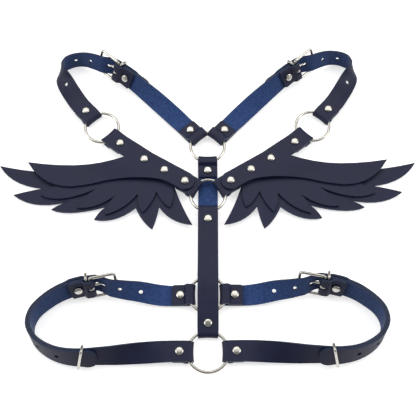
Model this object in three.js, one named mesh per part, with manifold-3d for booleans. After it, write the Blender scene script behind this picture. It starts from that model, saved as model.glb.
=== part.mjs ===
// A leather body harness with a pair of cut leather wings, laid flat with its back side up.
// Millimetres, +Z up, x to the wearer's side marked right, y towards the shoulders.
import * as THREE from 'three';
import { mergeVertices } from 'three/addons/utils/BufferGeometryUtils.js';
import Module from 'manifold-3d';

const wasm = await Module();
wasm.setup();

// Driving dimensions
const STRAP = 20;            // width of every strap
const LEATHER = 2.2;         // thickness of every leather piece
const GAP = 0.3;             // clearance between pieces that touch
const RING_WIRE = 3.2;
const RING_INNER = 32;
const BELT_RING_INNER = 35;  // the ring at the back of the belt is one size larger
const BUCKLE_WIRE = 3;
const BUCKLE_LENGTH = 24;    // from the fold's bar to the end bar
const BUCKLE_CORNER = 2.5;
const BUCKLE_PLAY = 2.2;     // how much wider a buckle is inside than a strap
const PRONG = 2.4;
const PRONG_PLAY = 1;        // how much wider the holes for the prong are
const PRONG_PAST_BAR = 2;    // the prong's tip reaches past the middle of the end bar
const PRONG_LIFT = 0.2;      // and lies this much higher than on the bar
const KEEPER_WIRE = 2.8;
const KEEPER_CORNER = 1.8;
const KEEPER_PLAY = 1;
const RIVET_CAP = 8;
const RIVET_SMALL_CAP = 6;   // under the folds at the back of the belt, close behind the ring
const RIVET_DOME = 1.6;
const RIVET_FLAT = 0.7;      // the hidden cap beside a buckle, under the other strap's tail
const RIVET_POST = 3;
const POST_HOLE_DEPTH = 20;  // deep enough for every stack that a rivet goes through
const HOLE = 4;              // punched adjustment holes
const HOLE_PITCH = 20;
const HOLE_FROM = -10;       // heights between which the holes are punched, off the strap's middle
const HOLE_TO = 6;
const SHOULDER_HOLES_FROM = 14.5; // where the row of holes starts, past the buckle's bar
const BELT_HOLES_FROM = 8;

// How a strap end folds back, as distances from the ring's centre
const FOLD_RIVET = 27.3;
const WING_FOLD_RIVET = 28;  // at the shoulder end of a wing's strap
const FOLD_STEP = 21.8;
const TONGUE_RIVET = 26;
const BACK_BELT_RIVET = 26.5;
const FOLD_END = 34.2;
const FOLD_RAMP = 2.6;       // the flap climbs from the strap to the ring over this length
const FOLD_PINCH = 3.6;      // the leather is squeezed narrower where it bends round a ring
const PINCH_LEAD = 0.8;      // and starts to narrow this far before the bend
const RUN_FROM = 16;         // where the plain run of a strap starts
const TOP_SLACK = 1.1;       // straps that miss the ring's centre bend this much further in
const WING_SLACK = 2.3;
// The same for a buckle, as distances behind the bar that the strap folds round
const BUCKLE_FOLD_STEP = 8;
const BUCKLE_FOLD_RAMP = 3.4;
const BUCKLE_FOLD_RIVET = 12.4;
const BUCKLE_FOLD_END = 20.5;
const BUCKLE_KEEPER_AT = 3.1;
const SLOT_LENGTH = 11;      // the slot that lets the prong through the fold
const SLOT_WIDTH = 5;
const SLOT_FORWARD = 2;
// How the other strap goes through the buckle
const DIP_FROM = 46;         // it sinks between these distances past the end bar
const DIP_TO = 5;
const UNDER_BAR = 2.5;       // crosses the buckle between points this far inside its two bars
const OVER_BAR = 4;          // and lies level to this distance behind the fold's bar
const END_BAR_ROOM = 0.4;    // clearance under the end bar, which is straight where the strap curves

const UPPER_TURN = THREE.MathUtils.degToRad(0.5); // the shoulders and wings lie a little turned
const BELT_TURN = THREE.MathUtils.degToRad(0.5);  // and the belt too, about the ring at its back
const SLIDE_TILT = THREE.MathUtils.degToRad(11.5); // the loose keeper sits askew on the belt
const BELT_BUCKLE_TILT = THREE.MathUtils.degToRad(3); // the tail lifts the belt buckles' end bars
const ARM_ANGLE = THREE.MathUtils.degToRad(31.5); // how steeply the wings' arms climb outwards
const ARM_RIVETS = [FOLD_RIVET, 52, 76.5];        // along the arm from the back ring
const WING_FALL = 0.02;                           // the wings sink outwards by this slope
const BACK_HEIGHT = 10.4;                         // straps at the back ring lie over the chest strap
const FRONT_HEIGHT = 3.16;                        // straps at the front rings lie on their rivets' caps
const SHOULDER_HEIGHT = 7.7;
const BELT_HEIGHT = 7.2;
const CENTRE_UP = 6.4;                            // from the box's middle up to the back ring
const CENTRE_OUT = 0.4;                           // and across to it

const LAYER = LEATHER + GAP;                      // from one stacked layer to the next
const OVER_RIVET = LEATHER + 3 * GAP + RIVET_FLAT; // where the tail rides over the hidden cap
const OVER_REACH = RIVET_CAP / 2 + 1.5;
const RING_POCKET = LEATHER + 2 * GAP + RING_WIRE;
const BUCKLE_POCKET = LEATHER + 3 * GAP + BUCKLE_WIRE;

// How finely round forms are divided
const WIRE_SIDES = 5;
const RING_STEPS = 20;
const RIVET_SIDES = 7;
const HOLE_SIDES = 5;
const FOLD_STEPS = 4;
const DIP_STEPS = 4;
const OUTLINE_STEPS = 4;
const RUN_MARGIN = 2;        // a plain run keeps this far from the shapes at its ends
const WING_STRAP_STEP = 14;  // lengths of the steps along each strap
const SHOULDER_STEP = 8.5;
const BELT_STEP = 12;
const SPINE_STEP = 16;
const CHEST_STEP = 8;

// Ring centres, measured from the back ring
const TOP_RING = { out: 0, up: 56.8 };
const SHOULDER_RING = { out: 111.6, up: 82 };
const FRONT_BELT_RING = { out: 0, up: -105 };
const BACK_BELT_RING = { out: 0, up: -160 };

// Strap routes along their middle line. lean turns the strap about its length: 0 lies grain side up,
// 90 stands on its edge and 180 lies grain side down.
const SHOULDER_ROUTE = [
  { out: 111.6, up: 82, height: SHOULDER_HEIGHT, lean: 0 },
  { out: 124.6, up: 96, height: SHOULDER_HEIGHT, lean: 0 },
  { out: 136.2, up: 108.9, height: SHOULDER_HEIGHT, lean: 0 },
  { out: 145.2, up: 122.5, height: 7.8, lean: 12 },
  { out: 153.4, up: 136.5, height: 8.6, lean: 28 },
  { out: 157.5, up: 145, height: 10, lean: 48 },
  { out: 158.6, up: 153, height: 11, lean: 77 },
  { out: 152.4, up: 161.4, height: 11, lean: 94 },
  { out: 141.3, up: 167, height: 11.6, lean: 98 },
  { out: 127.6, up: 167.4, height: 13, lean: 104 },
  { out: 109.6, up: 159.2, height: 14.2, lean: 111 },
  { out: 92, up: 144.8, height: 14.2, lean: 113 },
  { out: 71.5, up: 127.8, height: 11.8, lean: 127 },
  { out: 50, up: 108.8, height: 8.2, lean: 147 },
  { out: 26, up: 86.2, height: 3.2, lean: 180 },
  { out: 13.9, up: 72.9, height: FRONT_HEIGHT, lean: 180 },
  { out: -0.4, up: 57.6, height: FRONT_HEIGHT, lean: 180 },
];
const SHOULDER_BUCKLE_FROM_END = 133;
const SHOULDER_TAIL = 40;
const BELT_ROUTE = [
  { out: 0, up: -160, height: BELT_HEIGHT, lean: 0 },
  { out: 20, up: -160, height: BELT_HEIGHT, lean: 0 },
  { out: 38, up: -160, height: BELT_HEIGHT, lean: 0 },
  { out: 64.5, up: -162, height: 9.6, lean: 30 },
  { out: 92, up: -164.7, height: 12.4, lean: 52 },
  { out: 121.5, up: -165.3, height: 13.2, lean: 65 },
  { out: 139, up: -161.8, height: 12.2, lean: 72 },
  { out: 152.5, up: -154.6, height: 11.2, lean: 79 },
  { out: 160.9, up: -146.2, height: 11.2, lean: 85 },
  { out: 164.8, up: -135.4, height: 11.2, lean: 92 },
  { out: 161.4, up: -123.6, height: 11.6, lean: 100 },
  { out: 151.4, up: -113.4, height: 12.4, lean: 106 },
  { out: 137.6, up: -104.8, height: 13.6, lean: 110 },
  { out: 118.6, up: -98.9, height: 14.6, lean: 113 },
  { out: 95.4, up: -96.3, height: 14.3, lean: 115 },
  { out: 72.3, up: -99.8, height: 10.6, lean: 138 },
  { out: 50.3, up: -104.3, height: 6, lean: 162 },
  { out: 36, up: -105, height: 3.2, lean: 180 },
  { out: 20, up: -105, height: FRONT_HEIGHT, lean: 180 },
  { out: 0, up: -105, height: FRONT_HEIGHT, lean: 180 },
];
const BELT_BUCKLE_FROM_END = 112.4;
const BELT_TAIL = 148;
const BELT_KEEPER_FROM_TIP = 15;
const SPINE_ROUTE = [
  { out: 0, up: 0, height: BACK_HEIGHT, lean: 0 },
  { out: 0, up: -20, height: BACK_HEIGHT, lean: 0 },
  { out: 0, up: -38, height: BACK_HEIGHT, lean: 0 },
  { out: 0, up: -62, height: 11, lean: 0 },
  { out: 0, up: -82, height: 11.9, lean: 0 },
  { out: 0, up: -98, height: 11.9, lean: 0 },
  { out: 0, up: -122, height: 9.3, lean: 0 },
  { out: 0, up: -140, height: 7.3, lean: 0 },
  { out: 0, up: -160, height: BELT_HEIGHT, lean: 0 },
];
const CHEST_ROUTE = [
  { out: -0.6, up: 56.8, height: FRONT_HEIGHT, lean: 180 },
  { out: -0.4, up: 38, height: FRONT_HEIGHT, lean: 180 },
  { out: -0.3, up: 28, height: FRONT_HEIGHT, lean: 180 },
  { out: -0.1, up: 18, height: 1.6, lean: 180 },
  { out: 0, up: 9, height: 1.2, lean: 180 },
  { out: 0, up: 0, height: LEATHER / 2, lean: 180 },
  { out: 0, up: -8, height: LEATHER / 2, lean: 180 },
  { out: 0, up: -46, height: LEATHER / 2, lean: 180 },
  { out: 0, up: -54, height: LEATHER / 2, lean: 180 },
  { out: 0, up: -62, height: 1.3, lean: 180 },
  { out: -0.1, up: -74, height: FRONT_HEIGHT, lean: 180 },
  { out: -0.2, up: -84, height: FRONT_HEIGHT, lean: 180 },
  { out: -0.5, up: -105, height: FRONT_HEIGHT, lean: 180 },
];
const WING_STRAP_ROUTE = [
  { out: 0, up: 0, height: BACK_HEIGHT, lean: 0 },
  { out: 34.1, up: 20.9, height: 9.6, lean: 0 },
  { out: 56, up: 35.2, height: 9.1, lean: 0 },
  { out: 78.6, up: 51.8, height: 8.5, lean: 0 },
  { out: 92.4, up: 62.2, height: SHOULDER_HEIGHT, lean: 0 },
  { out: 112.1, up: 80, height: SHOULDER_HEIGHT, lean: 0 },
];

// Outlines of the wings' layers, measured from the back ring. Each row bends from the row before,
// past its via point; a row without one is straight.
const WING_BASE = [
  { out: 34.7, up: 12.8 },
  { out: 16, up: -31.5, viaOut: 27, viaUp: -12 },
  { out: 49.5, up: -11.5, viaOut: 38, viaUp: -29.5 },
  { out: 56, up: -36, viaOut: 52, viaUp: -26 },
  { out: 73.3, up: -12, viaOut: 66.5, viaUp: -28 },
  { out: 114.6, up: -24.6, viaOut: 92.5, viaUp: -29 },
  { out: 102.4, up: -10, viaOut: 110, viaUp: -15 },
  { out: 158.6, up: -12.6, viaOut: 141, viaUp: -21 },
  { out: 141.4, up: -3.7, viaOut: 151, viaUp: -6.8 },
  { out: 198.6, up: 4.6, viaOut: 177.5, viaUp: -13.3 },
  { out: 168, up: 11.5, viaOut: 183, viaUp: 9.2 },
  { out: 216, up: 38.6, viaOut: 201.5, viaUp: 14.8 },
  { out: 180, up: 31.5, viaOut: 198, viaUp: 34 },
  { out: 138, up: 29 },
  { out: 83, up: 42.5 },
  { out: 57, up: 45.5 },
  { out: 38, up: 31 },
];
const WING_MIDDLE = [
  { out: 35.2, up: 12.3 },
  { out: 38.4, up: -13.2, viaOut: 33.5, viaUp: -5 },
  { out: 52.4, up: 4.5, viaOut: 45, viaUp: -10.5 },
  { out: 65.9, up: -18.7, viaOut: 57.5, viaUp: -10 },
  { out: 71.1, up: 2.5, viaOut: 71.5, viaUp: -10 },
  { out: 103.2, up: -20.1, viaOut: 84.5, viaUp: -15.5 },
  { out: 93.4, up: 1.5, viaOut: 101.7, viaUp: -7 },
  { out: 132.3, up: -12.2, viaOut: 113, viaUp: -14.5 },
  { out: 112.9, up: 9.3, viaOut: 127, viaUp: 0 },
  { out: 169.9, up: 2.6, viaOut: 150.5, viaUp: -8.8 },
  { out: 150, up: 16, viaOut: 162.5, viaUp: 10 },
  { out: 125, up: 27 },
  { out: 83, up: 42.5 },
  { out: 57, up: 45.5 },
  { out: 38, up: 31 },
];
// The top layer's arm ends round the rivet beside the back ring, and its outline goes on from there
const WING_TOP = [
  { out: 40, up: 12.8 },
  { out: 78, up: 19.2, viaOut: 50.5, viaUp: 19.2 },
  { out: 110, up: 15.4, viaOut: 96, viaUp: 19.2 },
  { out: 139.7, up: 10.5, viaOut: 124, viaUp: 11.6 },
  { out: 186, up: 39.8, viaOut: 168.5, viaUp: 10.8 },
  { out: 84.4, up: 43.8, viaOut: 126, viaUp: 29 },
  { out: 60, up: 46.9 },
  { out: 55, up: 45.8, viaOut: 57, viaUp: 47 },
];
const TOP_FLAT_TO = 10.8;    // beyond the strap under its arm the top layer sinks on to the middle one
const TOP_SUNK_FROM = 42;
const TOP_SUNK = 0.05;       // and lies there at this height over the strap's middle
// How far the sheets reach that the layers are cut from: below the arm, and along it from the back ring
const SHEET_ABOVE = -60;
const SHEET_BELOW = 160;
const SHEET_INNER = -40;
const SHEET_OUTER = 240;
const CUTOUT_DEPTH = 60;

const leather = new THREE.MeshStandardMaterial({ color: 0x2c2f45, roughness: 0.5, metalness: 0 });
const nickel = new THREE.MeshStandardMaterial({ color: 0xd6d3cb, roughness: 0.22, metalness: 1 });

// Solids

function toSolid(geometry) {
  geometry.deleteAttribute('normal');
  geometry.deleteAttribute('uv');
  const merged = mergeVertices(geometry, 1e-4);
  const corners = Array.from(merged.index.array);
  const triangles = [];
  for (let i = 0; i < corners.length; i += 3) {
    const [a, b, c] = corners.slice(i, i + 3);
    if (a !== b && b !== c && c !== a) triangles.push(a, b, c);
  }
  return new wasm.Manifold(new wasm.Mesh({
    numProp: 3,
    vertProperties: new Float32Array(merged.attributes.position.array),
    triVerts: new Uint32Array(triangles),
  }));
}

function toGeometry(solid) {
  const mesh = solid.getMesh();
  const geometry = new THREE.BufferGeometry();
  geometry.setAttribute('position', new THREE.BufferAttribute(new Float32Array(mesh.vertProperties), 3));
  geometry.setIndex(Array.from(mesh.triVerts));
  geometry.computeVertexNormals();
  return geometry;
}

function cut(solid, cutters) {
  return cutters.reduce((rest, cutter) => rest.subtract(cutter), solid);
}

// A copy for the other side of the body
function mirrored(geometry) {
  const copy = geometry.clone().scale(-1, 1, 1);
  const corners = copy.index.array;
  for (let i = 0; i < corners.length; i += 3) {
    [corners[i], corners[i + 1]] = [corners[i + 1], corners[i]];
  }
  copy.computeVertexNormals();
  return copy;
}

// A strap's route: for a distance along it, a frame of the way along, across the strap and out of its
// grain side
class Route {
  constructor(rows) {
    const points = rows.map((row) => new THREE.Vector3(row.out, row.up, row.height));
    this.curve = new THREE.CatmullRomCurve3(points);
    this.curve.arcLengthDivisions = 800;
    this.leans = rows.map((row) => THREE.MathUtils.degToRad(row.lean));
    this.length = this.curve.getLength();
  }

  frame(distance) {
    const t = this.curve.getUtoTmapping(THREE.MathUtils.clamp(distance / this.length, 0, 1));
    const place = t * (this.leans.length - 1);
    const row = Math.min(Math.floor(place), this.leans.length - 2);
    const lean = THREE.MathUtils.lerp(this.leans[row], this.leans[row + 1], place - row);
    const along = this.curve.getTangent(t);
    const level = new THREE.Vector3(0, 0, 1).cross(along).normalize();
    const steep = along.clone().cross(level);
    const across = level.multiplyScalar(Math.cos(lean)).addScaledVector(steep, Math.sin(lean));
    return { point: this.curve.getPoint(t), along, across, out: along.clone().cross(across) };
  }

  place(distance, sideways, outwards) {
    const frame = this.frame(distance);
    return frame.point.addScaledVector(frame.across, sideways).addScaledVector(frame.out, outwards);
  }

  // A matrix with its x along the strap, y out of its grain side, and its origin at a height off the strap
  matrix(distance, outwards) {
    const frame = this.frame(distance);
    const matrix = new THREE.Matrix4().makeBasis(frame.along, frame.out, frame.across.clone().negate());
    return matrix.setPosition(this.place(distance, 0, outwards));
  }
}

// Points round a fold, as [distance, height] pairs, from under the folded layer to over it
function foldTurn(centre, towards, pocket) {
  const points = [];
  for (let i = 0; i <= FOLD_STEPS; i += 1) {
    const angle = Math.PI * (i / FOLD_STEPS);
    const reach = towards * Math.sin(angle) * pocket / 2;
    points.push([centre + reach, -pocket / 2 - Math.cos(angle) * pocket / 2]);
  }
  return points;
}

// Where a strap bends round a ring, from the ring's centre: the pinched strap's edges meet the ring first
function ringBend(inner, slack) {
  return Math.sqrt(inner ** 2 - (STRAP - FOLD_PINCH) ** 2) / 2 + RING_WIRE / 2 - GAP / 2 - slack;
}

function foldWidth(fromRing, inner, slack = 0) {
  const depth = (ringBend(inner, slack) + PINCH_LEAD - fromRing) / ((RING_POCKET - LEATHER) / 2);
  return STRAP - FOLD_PINCH * THREE.MathUtils.clamp(depth, 0, 1);
}

// The folded end round a ring, with distances from the ring's centre
function ringFold(inner, slack = 0) {
  const shift = (inner - RING_INNER) / 2;
  return [
    [FOLD_END, -LAYER],
    [FOLD_STEP + shift, -LAYER],
    [FOLD_STEP - FOLD_RAMP + shift, -RING_POCKET],
    ...foldTurn(ringBend(inner, slack), -1, RING_POCKET),
  ];
}

// The folded end round a buckle's bar, with distances from the bar, negative along the strap
function buckleFold() {
  return [
    [-BUCKLE_FOLD_END, -LAYER],
    [-BUCKLE_FOLD_STEP, -LAYER],
    [-BUCKLE_FOLD_STEP + BUCKLE_FOLD_RAMP, -BUCKLE_POCKET],
    ...foldTurn(0, 1, BUCKLE_POCKET),
  ];
}

// Even steps of a plain run, so that two straps on one route bend at the same places
function plainRun(from, to, height, step) {
  const low = Math.min(from, to);
  const high = Math.max(from, to);
  const points = [];
  for (let i = Math.ceil((low + RUN_MARGIN) / step); i * step < high - RUN_MARGIN; i += 1) {
    points.push([i * step, height]);
  }
  return from < to ? points : points.reverse();
}

// A smooth fall or rise of a strap between two distances, both heights among its points
function slope(from, to, fromHeight, toHeight) {
  const points = [];
  for (let i = 0; i <= DIP_STEPS; i += 1) {
    const part = i / DIP_STEPS;
    const eased = THREE.MathUtils.smoothstep(part, 0, 1);
    points.push([THREE.MathUtils.lerp(from, to, part), THREE.MathUtils.lerp(fromHeight, toHeight, eased)]);
  }
  return points;
}

// Widths of a strap's round tip, by distance from the tip
const TIP_LENGTH = 9;
const TIP_ROWS = [
  { from: 0, width: 7 },
  { from: 1.5, width: 13 },
  { from: 4.5, width: 18 },
  { from: TIP_LENGTH, width: STRAP },
];

function tipWidth(fromTip) {
  for (let i = 1; i < TIP_ROWS.length; i += 1) {
    const a = TIP_ROWS[i - 1];
    const b = TIP_ROWS[i];
    if (fromTip <= b.from) {
      return THREE.MathUtils.mapLinear(Math.max(fromTip, 0), a.from, b.from, a.width, b.width);
    }
  }
  return STRAP;
}

// A strap is its edge-on profile, a line of [distance, height] pairs thickened to the leather, widened to the
// strap and laid along its route. Each station has four corners, and both faces are split the same way, so
// that the leather keeps its thickness where it twists.
function strapSolid(route, line, widthAt) {
  const corners = line.flatMap((point, i) => {
    const before = line[Math.max(i - 1, 0)];
    const after = line[Math.min(i + 1, line.length - 1)];
    const into = new THREE.Vector2(point[0] - before[0], point[1] - before[1]).normalize();
    const away = new THREE.Vector2(after[0] - point[0], after[1] - point[1]).normalize();
    if (i === 0) into.copy(away);
    if (i === line.length - 1) away.copy(into);
    const middle = into.clone().add(away).normalize();
    const reach = LEATHER / 2 / middle.dot(into);
    return [[1, -1], [1, 1], [-1, 1], [-1, -1]].map(([face, hand]) => {
      const distance = point[0] - face * middle.y * reach;
      return route.place(distance, hand * widthAt(distance) / 2, point[1] + face * middle.x * reach);
    });
  });
  const triangles = [];
  const quad = (a, b, c, d) => triangles.push(a, b, c, a, c, d);
  for (let here = 0; here < corners.length - 4; here += 4) {
    const next = here + 4;
    quad(here, next, next + 1, here + 1);
    quad(here + 3, here + 2, next + 2, next + 3);
    quad(here + 1, next + 1, next + 2, here + 2);
    quad(here, here + 3, next + 3, next);
  }
  const last = corners.length - 4;
  quad(0, 1, 2, 3);
  quad(last + 3, last + 2, last + 1, last);
  const geometry = new THREE.BufferGeometry().setFromPoints(corners);
  geometry.setIndex(triangles);
  return toSolid(geometry);
}

// A round adjustment hole through a strap
function punch(route, distance) {
  const geometry = new THREE.CylinderGeometry(HOLE / 2, HOLE / 2, HOLE_TO - HOLE_FROM, HOLE_SIDES);
  geometry.translate(0, (HOLE_FROM + HOLE_TO) / 2, 0);
  return toSolid(geometry.applyMatrix4(route.matrix(distance, 0)));
}

// The square hole for a rivet's post, hidden under its caps
function postHole(route, distance) {
  const side = RIVET_POST + 2 * GAP;
  const geometry = new THREE.BoxGeometry(side, POST_HOLE_DEPTH, side);
  return toSolid(geometry.applyMatrix4(route.matrix(distance, 0)));
}

// A double-capped rivet that clamps what lies between two heights on its axis
function rivetSolid(low, high, { highRise = RIVET_DOME, lowCap = RIVET_CAP } = {}) {
  const half = (cap, rise) => [
    { radius: 0, rise },
    { radius: cap * 0.35, rise: rise * 0.75 },
    { radius: cap * 0.5, rise: rise * 0.2 },
    { radius: RIVET_POST / 2, rise: 0 },
  ];
  const under = half(lowCap, RIVET_DOME).map((row) => new THREE.Vector2(row.radius, low - GAP - row.rise));
  const over = half(RIVET_CAP, highRise).map((row) => new THREE.Vector2(row.radius, high + GAP + row.rise));
  over.reverse();
  return toSolid(new THREE.LatheGeometry([...under, ...over], RIVET_SIDES));
}

function rivetAt(route, distance, low, high, caps) {
  const geometry = toGeometry(rivetSolid(low, high, caps));
  return geometry.applyMatrix4(route.matrix(distance, 0));
}

function ringGeometry(inner) {
  const geometry = new THREE.TorusGeometry((inner + RING_WIRE) / 2, RING_WIRE / 2, WIRE_SIDES, RING_STEPS);
  return toGeometry(toSolid(geometry));
}

// A loop of wire round a rectangle with round corners, lying in its own x and y
function wireLoop(length, width, corner, wire) {
  const points = [];
  for (const [sx, sy, start] of [[1, 1, 0], [-1, 1, 90], [-1, -1, 180], [1, -1, 270]]) {
    for (const turn of [0, 45, 90]) {
      const angle = THREE.MathUtils.degToRad(start + turn);
      const middle = new THREE.Vector2(sx * (length / 2 - corner), sy * (width / 2 - corner));
      points.push(middle.add(new THREE.Vector2(Math.cos(angle), Math.sin(angle)).multiplyScalar(corner)));
    }
  }
  const geometry = new THREE.TorusGeometry(1, wire / 2, WIRE_SIDES, points.length);
  const position = geometry.attributes.position;
  for (let i = 0; i < position.count; i += 1) {
    const k = i % (points.length + 1) % points.length;
    const before = points[(k + points.length - 1) % points.length];
    const after = points[(k + 1) % points.length];
    const here = points[k];
    const into = here.clone().sub(before).normalize();
    const away = after.clone().sub(here).normalize();
    const middle = into.clone().add(away).normalize();
    const angle = 2 * Math.PI * Math.floor(i / (points.length + 1)) / WIRE_SIDES;
    const reach = Math.cos(angle) * wire / 2 / middle.dot(into);
    position.setXYZ(i, here.x + middle.y * reach, here.y - middle.x * reach, Math.sin(angle) * wire / 2);
  }
  return toSolid(geometry);
}

// Buckles

// A buckle's frame with its prong, in a frame whose origin is the bar that the strap folds round:
// x towards the end bar, y out of the strap's grain side
function prongSolid(diameter) {
  const tipRise = BUCKLE_WIRE / 2 + GAP + PRONG / 2 + PRONG_LIFT;
  const path = new THREE.CatmullRomCurve3([
    new THREE.Vector3(0, 0, 0),
    new THREE.Vector3(BUCKLE_LENGTH, tipRise, 0),
    new THREE.Vector3(BUCKLE_LENGTH + PRONG_PAST_BAR, tipRise, 0),
  ]);
  const section = new THREE.Shape();
  section.absarc(0, 0, diameter / 2, 0, 2 * Math.PI);
  return toSolid(new THREE.ExtrudeGeometry(section, { steps: 3, curveSegments: 3, extrudePath: path }));
}

function buckleSolid() {
  const width = STRAP + BUCKLE_PLAY + BUCKLE_WIRE;
  const frame = wireLoop(BUCKLE_LENGTH, width, BUCKLE_CORNER, BUCKLE_WIRE);
  const lying = toGeometry(frame).rotateX(-Math.PI / 2).translate(BUCKLE_LENGTH / 2, 0, 0);
  return toSolid(lying).add(prongSolid(PRONG));
}

// The slot that lets the prong through a fold
function slotSolid() {
  const room = new THREE.BoxGeometry(SLOT_LENGTH, POST_HOLE_DEPTH, SLOT_WIDTH);
  return toSolid(room.translate(SLOT_FORWARD, 0, 0));
}

// A wire keeper round two straps that lie on each other, square to them or askew
function keeperGeometry(route, distance, tilt = 0) {
  const height = LAYER + LEATHER + 2 * GAP + KEEPER_WIRE;
  const width = STRAP + KEEPER_PLAY + KEEPER_WIRE;
  const loop = toGeometry(wireLoop(height, width, KEEPER_CORNER, KEEPER_WIRE));
  const upright = new THREE.Matrix4().makeBasis(
    new THREE.Vector3(0, 1, 0), new THREE.Vector3(0, 0, 1), new THREE.Vector3(1, 0, 0));
  return loop.applyMatrix4(upright).rotateY(tilt).applyMatrix4(route.matrix(distance, LAYER / 2));
}

// One buckled run: a tongue strap from one ring, a buckle strap from the other, and what joins them.
// towards is 1 where the buckle strap comes before the buckle on the route, and -1 where it comes after.
function buckledRun(route, spec) {
  const { towards, bar, tilt, tail, step, holes, tongueRivetAt } = spec;
  const { buckleRing, buckleSlack, buckleRivetAt, lowCap } = spec;
  const at = (distance) => bar + towards * distance;
  const fromRing = (distance) => (towards > 0 ? route.length - distance : distance);
  const fromBuckleRing = (distance) => (towards > 0 ? distance : route.length - distance);
  const moved = (points, move) => points.map(([distance, height]) => [move(distance), height]);

  const underEndBar = BUCKLE_LENGTH * Math.sin(tilt) - BUCKLE_POCKET - END_BAR_ROOM;
  const tongueLine = [
    ...moved(ringFold(RING_INNER), fromRing),
    ...plainRun(fromRing(RUN_FROM), at(BUCKLE_LENGTH + DIP_FROM), 0, step),
    ...slope(at(BUCKLE_LENGTH + DIP_FROM), at(BUCKLE_LENGTH + DIP_TO), 0, underEndBar),
    [at(BUCKLE_LENGTH - UNDER_BAR), underEndBar],
    [at(UNDER_BAR), LAYER + GAP],
    [at(-OVER_BAR), LAYER + GAP],
    [at(OVER_REACH - BUCKLE_FOLD_RIVET), OVER_RIVET],
    [at(-OVER_REACH - BUCKLE_FOLD_RIVET), OVER_RIVET],
    ...plainRun(at(-OVER_REACH - BUCKLE_FOLD_RIVET), at(-tail + TIP_LENGTH), LAYER, step),
    ...TIP_ROWS.map((row) => [at(row.from - tail), LAYER + 2 * GAP]).reverse(),
  ];
  const barHeight = -BUCKLE_POCKET / 2;
  const barMatrix = route.matrix(bar, barHeight);
  if (towards < 0) barMatrix.multiply(new THREE.Matrix4().makeRotationY(Math.PI));
  barMatrix.multiply(new THREE.Matrix4().makeRotationZ(tilt));
  const holed = holes.map((place) => punch(route, at(place)));
  const prongRoom = toSolid(toGeometry(prongSolid(PRONG + PRONG_PLAY)).applyMatrix4(barMatrix));
  const tongueRivet = fromRing(tongueRivetAt);
  const tongueWidth = (distance) => Math.min(
    tipWidth(towards * (distance - at(-tail))), foldWidth(fromRing(distance), RING_INNER));
  const tongue = cut(strapSolid(route, tongueLine, tongueWidth), [
    postHole(route, tongueRivet),
    prongRoom,
    ...holed,
  ]);

  const buckleLine = [
    ...moved(buckleFold(), at),
    ...plainRun(bar, fromBuckleRing(RUN_FROM), 0, step),
    ...moved(ringFold(buckleRing, buckleSlack), fromBuckleRing).reverse(),
  ];
  const buckleRivet = fromBuckleRing(buckleRivetAt);
  const barRivet = at(-BUCKLE_FOLD_RIVET);
  const slot = toSolid(toGeometry(slotSolid()).applyMatrix4(barMatrix));
  const strapWidth = (distance) => foldWidth(fromBuckleRing(distance), buckleRing, buckleSlack);
  const strap = cut(strapSolid(route, buckleLine, strapWidth), [
    postHole(route, buckleRivet),
    postHole(route, barRivet),
    slot,
  ]);
  const folded = [-LAYER - LEATHER / 2, LEATHER / 2];
  return {
    tongue: toGeometry(tongue),
    strap: toGeometry(strap),
    buckle: toGeometry(buckleSolid()).applyMatrix4(barMatrix),
    keeper: keeperGeometry(route, at(-BUCKLE_KEEPER_AT)),
    tongueRivet: rivetAt(route, tongueRivet, ...folded),
    strapRivet: rivetAt(route, buckleRivet, ...folded, { lowCap }),
    buckleRivet: rivetAt(route, barRivet, folded[0] - GAP, folded[1] + GAP / 2, { highRise: RIVET_FLAT }),
  };
}

// Wings

function outlineShape(rows, shape = new THREE.Shape()) {
  rows.forEach((row, i) => {
    if (i === 0 && shape.curves.length === 0) shape.moveTo(row.out, row.up);
    else if (row.viaOut === undefined) shape.lineTo(row.out, row.up);
    else shape.quadraticCurveTo(row.viaOut, row.viaUp, row.out, row.up);
  });
  shape.closePath();
  return shape;
}

function topShape() {
  const shape = new THREE.Shape();
  const rivet = new THREE.Vector2(Math.cos(ARM_ANGLE), Math.sin(ARM_ANGLE)).multiplyScalar(FOLD_RIVET);
  shape.absarc(rivet.x, rivet.y, STRAP / 2, ARM_ANGLE + Math.PI / 2, ARM_ANGLE + 1.5 * Math.PI);
  return outlineShape(WING_TOP, shape);
}

// A layer is an upright cut-out that meets a sheet. The sheet's profile is given by [distance below the arm,
// height over the arm's strap] pairs, and it sinks along the arm.
function wingLayer(shape, profile, rivets) {
  const cutout = new THREE.ExtrudeGeometry(shape, {
    depth: CUTOUT_DEPTH, bevelEnabled: false, curveSegments: OUTLINE_STEPS,
  });
  cutout.translate(0, 0, -CUTOUT_DEPTH / 2);
  const lower = profile.map(([below, height]) => new THREE.Vector2(below, height - LEATHER / 2));
  const upper = profile.map(([below, height]) => new THREE.Vector2(below, height + LEATHER / 2)).reverse();
  const sheet = new THREE.ExtrudeGeometry(new THREE.Shape([...lower, ...upper]), {
    depth: SHEET_OUTER - SHEET_INNER, bevelEnabled: false,
  });
  const along = new THREE.Vector3(Math.cos(ARM_ANGLE), Math.sin(ARM_ANGLE), -WING_FALL).normalize();
  const below = new THREE.Vector3(Math.sin(ARM_ANGLE), -Math.cos(ARM_ANGLE), 0);
  const back = along.clone().negate();
  const upright = back.clone().cross(below);
  const matrix = new THREE.Matrix4().makeBasis(below, upright, back);
  matrix.setPosition(along.clone().multiplyScalar(SHEET_OUTER).add(new THREE.Vector3(0, 0, BACK_HEIGHT)));
  sheet.applyMatrix4(matrix);
  const holes = rivets.map((place) => armPunch(place));
  return toGeometry(cut(toSolid(sheet).intersect(toSolid(cutout)), holes));
}

function armPlace(distance) {
  return new THREE.Vector3(
    Math.cos(ARM_ANGLE) * distance, Math.sin(ARM_ANGLE) * distance, BACK_HEIGHT - WING_FALL * distance);
}

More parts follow.
